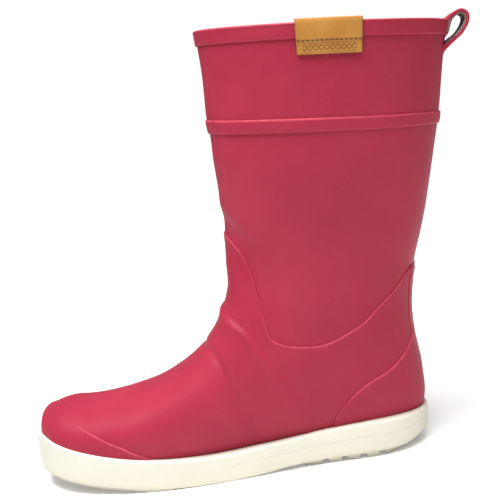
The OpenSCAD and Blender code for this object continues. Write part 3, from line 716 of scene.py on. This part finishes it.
def build_calf_band():
    s_low, s_top = 18.17, 18.87
    height = (station_speed(s_low + 0.3, BAND_ANGLES) * (s_top - s_low)).mean()
    shape = [(0.0, -0.35), (0.0, 0.35), (0.12, 0.85), (0.45, BAND - 0.08), (1.0, BAND)]
    shape += [(d, BAND + 0.06 * math.sin(math.pi * (d - 1) / (height - 2)))
              for d in np.linspace(1.6, height - 1.5, 8)]
    shape += [(height - 0.9, BAND), (height - 0.45, BAND - 0.12), (height - 0.12, BAND - 0.5),
              (height, 0.3), (height, -0.35), (height * 0.5, -0.4)]
    rows = np.array(band_rows(s_low, shape, 11))
    edge = np.zeros(rows.shape[:2])
    # Painted highlight, partly edge wear: lighter colour on the band's rounded lower and upper edges.
    edge[[2, 3]] = 0.35
    edge[-6:-3] = np.array([0.6, 1.0, 0.8])[:, None]
    obj = ring_object("calf_band_strip", rows, {"edge": edge})
    finish_piece(obj, RED, "calf_band")


def build_top_band():
    s_low = 20.67
    height = station_speed(s_low + 0.15, BAND_ANGLES) * (RIM - s_low)
    lift = 0.3
    inner = -(RUBBER + LINING + 0.55)
    outside = [(0.0, -0.3), (0.0, 0.4), (0.12, 0.85), (0.45, BAND - 0.08), (1.0, BAND)]
    outside += [(d, BAND) for d in np.linspace(2.0, 8.5, 7)]
    over = [(-1.2, BAND), (-0.5, BAND - 0.08), (0.0, BAND - 0.45), (lift, -0.1), (lift + 0.05, -0.9),
            (lift, -2.0), (0.1, inner + 0.45), (-0.3, inner + 0.1), (-0.9, inner), (-4.0, inner),
            (-4.4, inner + 0.25), (-4.5, inner + 0.7), (0.1, inner + 0.7), (0.15, -0.5)]
    speed = station_speed(s_low + 0.15, BAND_ANGLES)
    rows = band_rows(s_low, outside, 12, 9)
    rows += [skin(map_point(s_low + (height + d) / speed, BAND_ANGLES), h) for d, h in over]
    rows = np.array(rows)
    edge = np.zeros(rows.shape[:2])
    # Painted highlight, partly edge wear: lighter colour on the band's rounded lower edge and its fold
    # over the rim.
    edge[[2, 3]] = 0.4
    edge[13:18] = 0.35
    obj = ring_object("top_band_strip", rows, {"edge": edge})
    finish_piece(obj, RED, "top_band")


# ---- Overlays


def across(line_a, line_b, t):
    """Map grid between two half lines that start in the middle; t is (R, C) shares per column."""
    a = np.concatenate([line_a[:0:-1] * [1, -1], line_a])
    b = np.concatenate([line_b[:0:-1] * [1, -1], line_b])
    return mix(a, b, t[..., None])


def overlay_piece(name, low_line, high_line, clear, cad_node):
    """Sheet on the vamp from a hidden lower line to a rounded upper line.

    clear gives the two angles between which its upper edge grows from nothing to full height.
    """
    full, rows = 2 * len(low_line) - 1, 60
    probe = surface(across(low_line, high_line, np.linspace(0, 1, 12)[:, None] * np.ones(full)))
    length = np.linalg.norm(np.diff(probe, axis=0), axis=-1).sum(0)
    main = np.linspace(0, 1, rows)[:, None] * (1 - 1.4 / length)
    shape = [(0.8, 0.0), (0.4, -0.06), (0.14, -0.24), (0.0, -0.55), (0.0, -OVERLAY - 0.15)]
    t = np.concatenate([main, [1 - d / length for d, _ in shape]])
    drop = np.concatenate([np.zeros(rows), [h for _, h in shape]])
    m = across(low_line, high_line, t)
    upper = m[rows]
    angle = np.degrees(np.arctan2(np.abs(upper[:, 1]), upper[:, 0]))
    grown = smooth((angle - clear[0]) / (clear[1] - clear[0]))
    sheet = mix(0.12, OVERLAY, mix(1, grown, smooth(t - 0.35)))
    top = skin(m, sheet + drop[:, None] + ripple(surface(m), *FOOT_RIPPLE))
    edge = np.zeros(m.shape[:2])
    # Painted highlight, partly edge wear: lighter colour along the upper edge, only where the edge
    # stands proud.
    edge[rows:rows + 4] = np.array([0.5, 0.8, 1.0, 0.8])[:, None] * grown
    obj = slab_object(name, top, skin(m, -0.2), {"edge": np.concatenate([edge, edge * 0])})
    finish_piece(obj, RED, cad_node)


def base_line(s_end, from_heel, n):
    """Map points 1 mm above the lasted edge, from its middle outwards to a station."""
    line = level_line(lambda x: feather_z(x) + 1.0, 900)
    s = np.hypot(line[:, 0], line[:, 1])
    part = line[s >= s_end][::-1] if from_heel else line[s <= s_end]
    return evenly(part, n)


def build_overlays():
    n = 110
    overlay_piece("toe_cap_sheet", base_line(6.1, False, n), edge_line(CAP_EDGE, n), (36, 68),
                  "toe_cap")
    overlay_piece("heel_counter_sheet", base_line(9.7, True, n), edge_line(COUNTER_EDGE, n), (-1, 0),
                  "heel_counter")


def build_back_strip():
    half_angle, rows, width, top = 17.5, 60, 12.0, 15.33
    share = np.linspace(-1, 1, 41)
    counter = curve(COUNTER_EDGE, np.linspace(0, 5, 100))
    low = np.interp(np.abs(half_angle * share), (180 - counter[:, 0]), counter[:, 1]) - 0.03
    side = rounded((1 - np.abs(share)) * width / 1.1)
    up = np.linspace(0, 1, rows)[:, None]
    m = map_point(mix(low, top, up), (180 + half_angle * share)[None] * np.ones((rows, 1)))
    height = 0.75 * side * (1 - smooth((up - 0.96) / 0.04)) - 0.1
    obj = slab_object("back_strip_sheet", skin(m, height), skin(m, -0.4))
    finish_piece(obj, RED, "back_strip")


# ---- Linings and footbed


def cloth_coordinates(rows):
    """Millimetres across and along a grid, for a weave that follows the shape."""
    along = np.concatenate([np.zeros((1, rows.shape[1])),
                            np.cumsum(np.linalg.norm(np.diff(rows, axis=0), axis=-1), axis=0)])
    step = np.linalg.norm(np.diff(rows, axis=1, append=rows[:, :1]), axis=-1).mean(0)
    round_ = np.concatenate([[0], np.cumsum(step)[:-1]])
    return {"along": along, "across": np.broadcast_to(round_, along.shape)}


def lining_object(name, maps, depths):
    """Thin textile ring: its rows run up the inside face first, then down the outside."""
    inside = skin(maps, depths - LINING)
    outside = skin(maps[::-1], depths[::-1])
    stack = np.concatenate([inside, outside])
    return ring_object(name, stack, cloth_coordinates(stack))


def build_linings():
    w = spread(0.0, 0.995, 110)
    leg = lining_object("leg_lining_knit", leg_map(w), leg_dip(w) - RUBBER - 0.2)
    finish_piece(leg, KNIT, "leg_lining")
    v = spread(0.02, 0.985, 110)
    depths = smooth((v - 0.93) / 0.055) - (STEP + RUBBER + 0.25 + LINING + 0.25)
    foot = lining_object("foot_lining_knit", vamp_map(v), depths)
    finish_piece(foot, KNIT, "foot_lining")


def build_sock_liner():
    n = 120
    liner_low, liner_top = FEATHER + 2.4, FEATHER + 5.6
    depth = -(STEP + RUBBER + 2 * LINING + 0.5 + 0.6)
    line = even_level(lambda x: feather_z(x) + 3, n, 0.004, 0.996)
    inner, outer = skin(line, depth), skin(line * [1, -1], depth)
    t = (1 - np.cos(np.linspace(0, math.pi, 41))) / 2
    flat = mix(outer[:, None, :2], inner[:, None, :2], t[None, :, None])
    x = flat[..., 0]
    border = np.minimum(t, 1 - t)[None] * np.linalg.norm(outer - inner, axis=-1)[:, None]
    heel = smooth((x + 70) / 60)
    cup = (1 - smooth(border / 14)) * (0.6 + 1.6 * heel)
    arch = np.exp(-((x + 55) / 28) ** 2) * np.clip(t[None] - 0.55, 0, 1) * 6
    rim = -1.2 * (1 - smooth(border / 1.2))
    z = liner_top + spring(x) + cup + arch + rim
    top = np.dstack([flat, z])
    bottom = np.dstack([flat, liner_low + spring(x)])
    grid = cloth_coordinates(top)
    values = {k: np.concatenate([v, v]) for k, v in grid.items()}
    obj = slab_object("sock_liner_pad", top, bottom, values)
    finish_piece(obj, FOOTBED, "sock_liner")


# ---- Sole

OUTLINE = [[-236, 10], [-234, -6], [-227, -19.5], [-209, -34.5], [-182, -44], [-147, -48.5],
           [-112, -47.5], [-76, -42], [-40, -36.3], [-8, -34.2], [12, -31.3], [28, -23], [36.5, -12],
           [39, 0], [36.5, 12], [28, 23], [12, 31.3], [-8, 33.6], [-40, 33.8], [-62, 34.8], [-90, 40],
           [-117, 49], [-150, 54.8], [-186, 51.8], [-212, 45.5], [-226, 35.2], [-233, 24]]
HEEL_POINT = 13     # row of OUTLINE at the back of the heel
MOULD_LINE = 0.54   # its height, as a share of the side wall
SOLE_HALF = 300
BORDER = 4.5
FORE_INSET = BORDER + 2.2
TOOTH_DEPTH = 0.85
HEEL_INSET = 3.4    # the heel's ribs reach out under the side wall


def outline_sides(n):
    """Both sides of the sole's outline from toe to heel, n + 1 points each."""
    steps = 40
    loop = closed_curve(OUTLINE, steps) * [KX, KY]
    outer = loop[:HEEL_POINT * steps + 1]
    inner = np.concatenate([loop[:1], loop[:HEEL_POINT * steps - 1:-1]])
    shares = np.linspace(0, 1, n + 1)
    return resample(outer, shares), resample(inner, shares)


def inset_side(side, inset, sign):
    before = np.vstack([[side[1, 0], 2 * side[0, 1] - side[1, 1]], side[:-1]])
    after = np.vstack([side[1:], [side[-2, 0], 2 * side[-1, 1] - side[-2, 1]]])
    d = after - before
    d /= np.linalg.norm(d, axis=1, keepdims=True)
    return side + sign * np.stack([d[:, 1], -d[:, 0]], -1) * np.asarray(inset).reshape(-1, 1)


SIDE_OUTER, SIDE_INNER = outline_sides(SOLE_HALF)


def inset_sides(inset):
    return inset_side(SIDE_OUTER, inset, -1), inset_side(SIDE_INNER, inset, 1)


def sole_loop(inset, zf):
    plan = around(*inset_sides(np.broadcast_to(np.asarray(inset, float), SOLE_HALF + 1)))
    return np.column_stack([plan, zf(plan[:, 0])])


def wall_loop(zf, depth):
    line = even_level(zf, SOLE_HALF)
    return around(skin(line * [1, -1], depth), skin(line, depth))


def forefoot_share(x):
    """1 along the toe's row of teeth and 0 behind it."""
    return smooth((-98 - x) / 10)


def behind_teeth(x):
    return np.maximum(wall_bottom(x) - TOOTH_DEPTH * forefoot_share(x), 0.05)


def build_foxing():
    """Side wall with a faint moulded line along its rear half and a rounded top edge."""
    rows, groove = [], []

    def add(row, g=0.0):
        rows.append(row)
        groove.append(np.broadcast_to(g, len(row)))

    heights = np.concatenate([[0.12, 0.2, 0.3, 0.4], np.linspace(0.46, 0.62, 15), [0.68, 0.76, 0.84]])
    plan_x = SIDE_OUTER[:, 0]
    rear = smooth((plan_x + 125) / 50)
    tuck = 0.9 * smooth((plan_x - 5) / 25)      # the wall leans in under the heel's back
    front = forefoot_share(sole_loop(0, wall_bottom)[:, 0])
    # Painted shade: the underside row is greyer and the recess behind the toe's teeth is dark olive.
    add(sole_loop(BORDER, lambda x: wall_bottom(x) + 0.1), 0.5)
    add(sole_loop(2.4 + tuck, behind_teeth), 2 * front)
    add(sole_loop(0.75 + tuck, behind_teeth), 2 * front)
    add(sole_loop(0.6 + tuck, wall_bottom), 2 * front)
    add(sole_loop(0.45 + tuck, lambda x: wall_bottom(x) + 0.2), 0.2 * front)
    add(sole_loop(0.2 + tuck * 0.97, lambda x: wall_bottom(x) + 1.1))
    for h in heights:
        line = np.exp(-((h - MOULD_LINE) / 0.022) ** 2)
        inset = 0.02 + 0.12 * line * rear + tuck * (1 - h)
        row = sole_loop(inset, lambda x: mix(wall_bottom(x), wall_z(x), h))
        # Painted shade along the moulded line.
        add(row, line * around(rear, rear) * 0.2)
    for inset, drop in ((0.02, 1.6), (0.1, 0.85), (0.32, 0.35), (0.75, 0.07), (1.3, 0)):
        add(sole_loop(inset, lambda x: wall_z(x) - drop))
    add(wall_loop(lambda x: wall_z(x) - 0.05, 0.25))
    add(wall_loop(lambda x: wall_z(x) - 0.6, -0.25))
    add(wall_loop(lambda x: mix(feather_z(x), wall_z(x), 0.4), -0.3))
    add(wall_loop(lambda x: feather_z(x) - 0.5, -0.3))
    add(sole_loop(BORDER + 1.6, lambda x: spring(x) + 10.5))
    add(sole_loop(BORDER + 0.4, lambda x: rise(x) + 6.0))
    obj = ring_object("foxing_wall", np.array(rows), {"groove": np.array(groove)})
    finish_piece(obj, CREAM, "foxing")


def build_outsole():
    t = np.linspace(0, 1, 61)
    a, b = [resample(side, np.linspace(0.004, 0.996, 260)) for side in inset_sides(BORDER - 0.6)]
    plan = mix(a[:, None], b[:, None], t[None, :, None])
    x = plan[..., 0]
    low = np.minimum(wall_bottom(x) + 0.12, 2.4 + rise(x))
    waist = np.exp(-((x + 68) / 16) ** 4)
    low = low + 1.1 * waist * np.sin(math.pi * t)[None] ** 0.5
    bottom = np.dstack([plan, low])
    top = np.dstack([plan, 5.5 + rise(x)])
    obj = slab_object("outsole_plate", top, bottom)
    finish_piece(obj, CREAM, "outsole")


WAVE_LENGTH = 51.0
PAD_LINES = [inset_sides(inset) for inset in (FORE_INSET, HEEL_INSET)]


def pad_edge(x, t):
    share = np.clip((x / KX + 60) / 20, 0, 1) * (1 - smooth((x / KX - 2) / 16))
    low, high = [mix(np.interp(x, fore[:, 0], fore[:, 1]), np.interp(x, heel[:, 0], heel[:, 1]), share)
                 for fore, heel in zip(*PAD_LINES)]
    return mix(low, high, t)


def fore_wave(y):
    return -3.5 * np.cos(2 * math.pi * (y + 4) / WAVE_LENGTH)


def heel_wave(y):
    return -3.3 * np.cos(2 * math.pi * y / (WAVE_LENGTH + 2))


def groove_cut(d, depth, wall, flat, tail):
    """Depth of one groove at distance d behind its front edge."""
    return depth * smooth(d / wall) * (1 - smooth((d - flat) / tail)) * (d > 0)


FORE_GROOVE = (1.75, 0.8, 1.8, 4.2)     # depth, run of the front wall, start and run of the tail
HEEL_GROOVE = (3.4, 1.3, 2.6, 3.2)


def pad_object(name, x0, x1, swing, wave, grooves, shape, open_sides, material, *nodes):
    """Tread pad: rows follow the wave, and its underside is cut by the grooves."""
    rows = int((x1 - x0) / 0.42) + 1
    base_x = np.linspace(x0, x1, rows)[:, None]
    t = (1 - np.cos(np.linspace(0, math.pi, 91))) / 2
    t = mix(t, np.linspace(0, 1, 91), 0.6)[None]
    s = swing(base_x)
    y = pad_edge(base_x, t)
    for _ in range(3):
        x = base_x + s * wave(y)
        y = pad_edge(x, t)
    width = pad_edge(x, 1) - pad_edge(x, 0)
    side = np.minimum(t, 1 - t) * width
    cut = sum([groove_cut(base_x - g, *shape) for g in grooves], 0 * base_x)
    reach = np.ones_like(side) if open_sides else smooth((side - 2.5) / 3.5)
    depth = cut * reach
    ends = np.minimum(base_x - x0, x1 - base_x)
    corner = 0.5 * (1 - rounded(np.minimum(side, ends) / 0.8))
    z = np.minimum(depth + corner, shape[0] + 0.2) + rise(x)
    bottom = np.dstack([x, y, z])
    top = np.dstack([x, y, np.maximum(2.6 + rise(x), wall_bottom(x) + 0.4)])
    # Painted shade: the underside is a little greyer, more so deep in the grooves.
    groove = 0.14 + 0.5 * np.clip(depth / shape[0], 0, 1)
    obj = slab_object(name, top, bottom, {"groove": np.concatenate([groove * 0, groove])})
    finish_piece(obj, material, *nodes)


def build_tread():
    fore_front, fore_rear = -228.5 * KX, -117.3 * KX
    inlay_rear, bar_rear = -98.4 * KX, -90.6 * KX
    fore_grooves = [-211.6 * KX + i * 13.6 for i in range(7)]
    pad_object("forefoot_tread_pad", fore_front, fore_rear - 0.25,
               lambda x: np.clip((x - fore_front) / (26 * KX), 0, 1), fore_wave, fore_grooves,
               FORE_GROOVE, False, CREAM, "forefoot_tread")
    pad_object("forefoot_tread_bar", inlay_rear + 0.25, bar_rear, lambda x: 1.0 + 0 * x, fore_wave,
               [], FORE_GROOVE, False, CREAM)
    pad_object("tread_inlay_band", fore_rear, inlay_rear, lambda x: 1.0 + 0 * x, fore_wave,
               [-104.4 * KX], FORE_GROOVE, True, INLAY, "tread_inlay")
    heel_front, heel_rear = -50.3 * KX, 31.9 * KX
    heel_grooves = [11.4 + (i - 4) * 12.6 for i in range(5)]
    pad_object("heel_tread_pad", heel_front, heel_rear,
               lambda x: np.clip((heel_rear - x) / (22 * KX), 0, 1), heel_wave, heel_grooves,
               HEEL_GROOVE, True, CREAM, "heel_tread")


def build_toe_teeth():
    """Fine gripping teeth under the edge of the forefoot."""
    pitch, tooth, run = 1.7, 0.95, 131
    rim_shape = ((0.2, 1.0), (0.5, 1.2), (3.0, 1.0), (3.8, 0.2))   # inset, depth below the wall
    points, faces = [], []
    for side, sign in ((SIDE_OUTER, -1), (SIDE_INNER, 1)):
        lengths = run_lengths(side)
        for d in np.arange(0.5 * pitch, run, pitch):
            a, b = [np.array([np.interp(q, lengths, side[:, k]) for k in (0, 1)])
                    for q in (d - tooth / 2, d + tooth / 2)]
            along = (b - a) / np.linalg.norm(b - a)
            inward = sign * np.array([along[1], -along[0]])
            z = wall_bottom((a[0] + b[0]) / 2)
            rim = []
            for inset, low in rim_shape:
                for p in (a, b):
                    q = p + inward * inset
                    rim.append([q[0], q[1], z + 0.9, q[0], q[1], max(z - low * TOOTH_DEPTH, 0.05)])
            rim = np.array(rim).reshape(4, 2, 6)
            p, f = slab_parts(rim[..., :3], rim[..., 3:], sum(len(q) for q in points))
            points.append(p)
            faces.append(f)
    count = sum(len(p) for p in points)
    # Painted shade: the teeth are tinted a little greyer.
    obj = make_object("toe_grip_teeth", np.concatenate(points), faces,
                      {"groove": np.full(count, 0.15)})
    finish_piece(obj, CREAM)


# ---- Label

LABEL_FROM, LABEL_TO = -80.0, -108.5
LABEL_T = 1.2
LABEL_DROP = 19.0
FOLD = 9.5          # the fold covers the band this far down
STAMP_ROW, STAMP_SWING, RINGS = 15.0, 1.35, 6
FRAME_LINES = (17.6, 12.5)
SEAM = 10.8         # distance from the label's top fold down to its stitch row
STITCHES = 14


def label_frame(down, across_share):
    """Map point of the label at a distance below the rim and a share of its width."""
    angles = mix(LABEL_FROM, LABEL_TO, across_share)
    speed = station_speed(RIM - 0.3, angles)
    return map_point(RIM - down / speed, angles)


def label_depth(down):
    """Depth of the label's underside: over the band, then closer to the leg below it."""
    return BAND + 0.2 - 0.75 * smooth((down - FOLD) / 3.5)


def build_label():
    cols = 150
    u = np.linspace(0, 1, cols)
    width_mm = 38.0
    inner = -(RUBBER + LINING + 0.75)
    rows_out, rows_in, stamp, edge = [], [], [], []
    side = np.minimum(u, 1 - u) * width_mm
    round_side = rounded(side / 0.5)

    for d in np.linspace(LABEL_DROP, 0.6, 78):
        m = label_frame(d, u)
        under = label_depth(d)
        round_end = rounded((LABEL_DROP - d) / 0.5)
        pinch = 0.28 * math.exp(-((d - SEAM) / 0.7) ** 2)
        waves = [STAMP_ROW + STAMP_SWING * np.sin(2 * math.pi * u * RINGS + phase)
                 for phase in (0, math.pi)]
        inside = smooth((side - 3.0) / 0.8)
        mark = np.maximum(*[np.exp(-((d - wave) / 0.30) ** 2) for wave in waves])
        frame_line = sum(np.exp(-((d - q) / 0.16) ** 2) for q in FRAME_LINES)
        mark = np.clip(mark + 0.8 * frame_line, 0, 1) * inside
        t = LABEL_T * (0.45 + 0.55 * round_side * round_end) - pinch - 0.22 * mark
        rows_out.append(skin(m, under + t))
        rows_in.append(skin(m, under))
        stamp.append(mark * 0.9)
        edge.append(np.maximum(np.exp(-side / 0.35), math.exp(-(LABEL_DROP - d) / 0.35))
                    * np.ones(cols))
    over = [(-0.6, BAND + 0.25, BAND + LABEL_T), (-1.25, BAND - 0.2, BAND + LABEL_T - 0.3),
            (-1.35, 0.0, 0.2), (-1.35, -1.7, -1.7), (-1.25, inner + 0.3, inner - LABEL_T + 0.4),
            (-0.6, inner, inner - LABEL_T)]
    tops = [-0.9, -1.9, -2.5, -2.5, -2.0, -0.9]
    for (down_in, depth_in, depth_out), down_out in zip(over, tops):
        rows_in.append(skin(label_frame(down_in, u), depth_in))
        rows_out.append(skin(label_frame(down_out, u), depth_out))
    for d in np.linspace(0.6, FOLD, 30):
        m = label_frame(d, u)
        rows_in.append(skin(m, inner))
        rows_out.append(skin(m, inner - LABEL_T))
    extra = len(rows_out) - len(stamp)
    stamp += [np.zeros(cols)] * extra
    edge += [np.exp(-side / 0.35)] * extra
    values = {"stamp": np.concatenate([np.array(stamp), np.zeros((len(stamp), cols))]),
              "edge": np.concatenate([np.array(edge), np.array(edge)])}
    obj = slab_object("label_tag", np.array(rows_out), np.array(rows_in), values)
    finish_piece(obj, LEATHER, "label")


def build_stitches():
    """Raised thread runs that dive into the leather at both ends."""
    radius, share = 0.36, 0.68
    points, faces = [], []
    ring_n, steps = 10, 13
    for k in range(STITCHES):
        u = (k + 0.5 + share * np.linspace(-0.5, 0.5, steps)) / STITCHES
        arc = np.sin(np.linspace(0, math.pi, steps))
        tilt = 0.22 * np.linspace(-1, 1, steps)
        lift = label_depth(SEAM) + LABEL_T - 0.5 + 0.5 * arc**0.5
        mid = skin(label_frame(SEAM + tilt, u), lift)
        n = normal(label_frame(SEAM + tilt, u))
        along = np.gradient(mid, axis=0)
        along /= np.linalg.norm(along, axis=1, keepdims=True)
        side = np.cross(n, along)
        a = np.linspace(0, 2 * math.pi, ring_n, endpoint=False)
        r = radius * (0.55 + 0.45 * arc[:, None, None] ** 0.5)
        ring = mid[:, None] + r * (np.cos(a)[None, :, None] * n[:, None]
                                   + np.sin(a)[None, :, None] * side[:, None])
        faces += tube_faces(steps, ring_n, sum(len(q) for q in points))
        points.append(ring.reshape(-1, 3))
    obj = make_object("label_thread", np.concatenate(points), faces)
    finish_piece(obj, THREAD, "label_stitches")


# ---- Pull loop

STRAP_W, STRAP_T, TAPE_T = 22.0, 2.0, 0.95


def strap_path():
    """Middle line of the strap in the XZ plane, flush on the back of the leg at both ends."""
    def foot(s, depth):
        p = skin(map_point(np.array([s]), np.array([180.0])), np.array([depth]))[0]
        return [p[0], p[2]]
    free = [[82.7, 269.4], [84.5, 272.7], [87.3, 275.1], [90.5, 275.8], [93.1, 273.9], [93.5, 270.6],
            [91.6, 266.6], [87.4, 261.8], [82.4, 257.8]]
    free = [[x * KX, float(raised_height(np.array(z)))] for x, z in free]
    start = [foot(20.66, -1.0), foot(20.76, 0.6)]
    end = [foot(20.36, 0.1), foot(20.24, -1.6)]
    return np.array(start + free + end)


def strap_rows(t, low, high, width, rounding):
    """Cross sections of a band along the strap, between two distances from its middle line."""
    path = strap_path()
    p = curve(path, t)
    e = 0.01
    d = curve(path, t + e) - curve(path, t - e)
    d /= np.linalg.norm(d, axis=1, keepdims=True)
    out = np.stack([-d[:, 1], d[:, 0]], -1)
    hw, hh, mid = width / 2, (high - low) / 2, (high + low) / 2
    r = min(rounding, hh * 0.98)
    corner = np.linspace(0, math.pi / 2, 5)
    shape = []
    for sx, sy, flip in ((1, 1, False), (-1, 1, True), (-1, -1, False), (1, -1, True)):
        arc = [(sx * (hw - r + r * math.cos(a)), mid + sy * (hh - r + r * math.sin(a))) for a in corner]
        shape += arc[::-1] if flip else arc
    filled = []
    for k, (y, z) in enumerate(shape):
        filled.append((y, z))
        y2 = shape[(k + 1) % len(shape)][0]
        if abs(y2 - y) > 2:
            filled += [(mix(y, y2, q), z) for q in np.linspace(0, 1, 9)[1:-1]]
    shape = np.array(filled)
    # Order the section so that tube_object's end quads pair its two faces
    shape = np.roll(shape, -int(np.argmax(shape[:, 0] + 0.01 * shape[:, 1])), axis=0)
    foot_share = 1 - smooth((p[:, 0] - 83.5 * KX) / 5)
    sag = shape[None, :, 0] ** 2 / (2 * 32.0) * foot_share[:, None]
    reach = shape[None, :, 1]
    x = p[:, :1] + out[:, :1] * reach - sag
    z = p[:, 1:] + out[:, 1:] * reach
    y = np.broadcast_to(shape[None, :, 0], x.shape)
    return np.stack([x, y, z], -1)


def build_pull_loop():
    total = len(strap_path()) - 1
    whole = STRAP_T + TAPE_T
    first, last = 0.9, total - 1.6
    t = np.linspace(first, last, 150)
    rubber = strap_rows(t, -whole / 2 + TAPE_T, whole / 2, STRAP_W, 0.55)
    loop = tube_object("pull_loop_strap", rubber)
    tape = strap_rows(t, -whole / 2, -whole / 2 + TAPE_T + 0.05, STRAP_W - 0.8, 0.3)
    lining = tube_object("pull_loop_tape", tape, cloth_coordinates(tape))
    for obj, material, cad in ((loop, RED, "pull_loop"), (lining, TAPE, "pull_loop_lining")):
        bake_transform(obj)
        dress(obj, material, cad)
    for name, a, b, cad in (("upper", -0.35, first + 0.03, ["loop_anchors"]),
                            ("lower", last - 0.03, total + 0.2, [])):
        rows = strap_rows(np.linspace(a, b, 40), -whole / 2 - 0.1, whole / 2, STRAP_W, 0.6)
        finish_piece(tube_object("loop_end_" + name, rows), RED, *cad)


# ---- Frame nodes that stay inside


def dress_hidden_nodes():
    inside = {"midsole_filler": FOAM, "heel_wedge": FOAM, "insole_board": BOARD, "toe_puff": BOARD,
              "heel_stiffener": BOARD, "instep_strip": BOARD}
    for name, material in inside.items():
        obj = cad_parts[name]
        obj.data.materials.clear()
        obj.data.materials.append(material)


# ---- Stage


def area_light(name, location, target, size, power):
    data = bpy.data.lights.new(name, "AREA")
    data.shape = "DISK"
    data.size = size
    data.energy = power
    light = bpy.data.objects.new(name, data)
    light.location = location
    link(light)
    light.rotation_mode = "QUATERNION"
    light.rotation_quaternion = (Vector(target) - light.location).to_track_quat("-Z", "Y")


def build_stage():
    mesh = bpy.data.meshes.new("floor")
    half = 30.0
    mesh.from_pydata([(-half, -half, 0), (half, -half, 0), (half, half, 0), (-half, half, 0)], [],
                     [(0, 1, 2, 3)])
    floor = bpy.data.objects.new("floor", mesh)
    floor.location.z = -0.0002
    link(floor)
    material, tree, shader, coords = start_material("pale_floor")
    shade = ramp(tree, noise(tree, coords, 3.0), 0.3, 0.7)
    colour = colour_mix(tree, shade, (0.88, 0.88, 0.88, 1), (0.91, 0.91, 0.91, 1))
    # Painted light: the floor glows for the camera only, more with distance from the boot, so it reads
    # white far off while the shade near the boot stays.
    seen = node(tree, "ShaderNodeLightPath").outputs["Is Camera Ray"]
    place = node(tree, "ShaderNodeVectorMath", {0: coords}, operation="LENGTH").outputs["Value"]
    painted_far_glow = node(tree, "ShaderNodeMapRange", {"Value": place, "From Min": 0.35, "From Max": 1.6,
                                                 "To Min": 0.22, "To Max": 0.9},
                    interpolation_type="SMOOTHSTEP").outputs["Result"]
    set_inputs(tree, shader, {"Base Color": colour, "Roughness": 0.9, "Specular IOR Level": 0.1,
                              "Emission Color": (1, 1, 1, 1),
                              "Emission Strength": math_node(tree, "MULTIPLY", seen, painted_far_glow)})
    mesh.materials.append(material)

    world = bpy.data.worlds.new("studio")
    bpy.context.scene.world = world
    world.use_nodes = True
    background = world.node_tree.nodes["Background"]
    background.inputs["Color"].default_value = (1.0, 1.0, 1.0, 1)
    seen = node(world.node_tree, "ShaderNodeLightPath").outputs["Is Camera Ray"]
    world.node_tree.links.new(ramp(world.node_tree, seen, 0.0, 1.0, 0.12, 1.0),
                              background.inputs["Strength"])

    centre = (-0.07, 0, 0.13)
    area_light("overhead", (-0.12, -0.36, 1.38), centre, 1.2, 32)
    area_light("sheen", (-0.50, -0.22, 1.15), centre, 0.5, 5)
    area_light("right", (1.3, -0.8, 0.6), centre, 0.7, 1.5)
    area_light("behind", (0.3, 1.3, 0.9), centre, 0.9, 2)
    bpy.context.scene.view_settings.view_transform = "Standard"


def build_camera():
    """Camera close to the outer side, a little above the foot, turned by a roll."""
    azimuth, elevation, roll = math.radians(6.0), math.radians(9.3), math.radians(9.0)
    distance, focal_pixels, picture = 0.640, 950.0, 500.0
    target = Vector((-0.065, 0.0, 0.143))
    back = Vector((math.sin(azimuth) * math.cos(elevation), -math.cos(azimuth) * math.cos(elevation),
                   math.sin(elevation)))
    right = (-back).cross(Vector((0, 0, 1))).normalized()
    up = right.cross(-back).normalized()
    axis_x = right * math.cos(roll) - up * math.sin(roll)
    axis_y = right * math.sin(roll) + up * math.cos(roll)
    data = bpy.data.cameras.new("camera")
    data.sensor_width = 36.0
    data.lens = focal_pixels / picture * data.sensor_width
    camera = bpy.data.objects.new("camera", data)
    position = target + back * distance
    matrix = Matrix((axis_x, axis_y, back)).transposed().to_4x4()
    matrix.translation = position
    camera.matrix_world = matrix
    link(camera)
    bpy.context.scene.camera = camera


build_vamp()
build_leg()
build_calf_band()
build_top_band()
build_overlays()
build_back_strip()
build_linings()
build_sock_liner()
build_foxing()
build_outsole()
build_tread()
build_toe_teeth()
build_label()
build_stitches()
build_pull_loop()
dress_hidden_nodes()
build_stage()
build_camera()
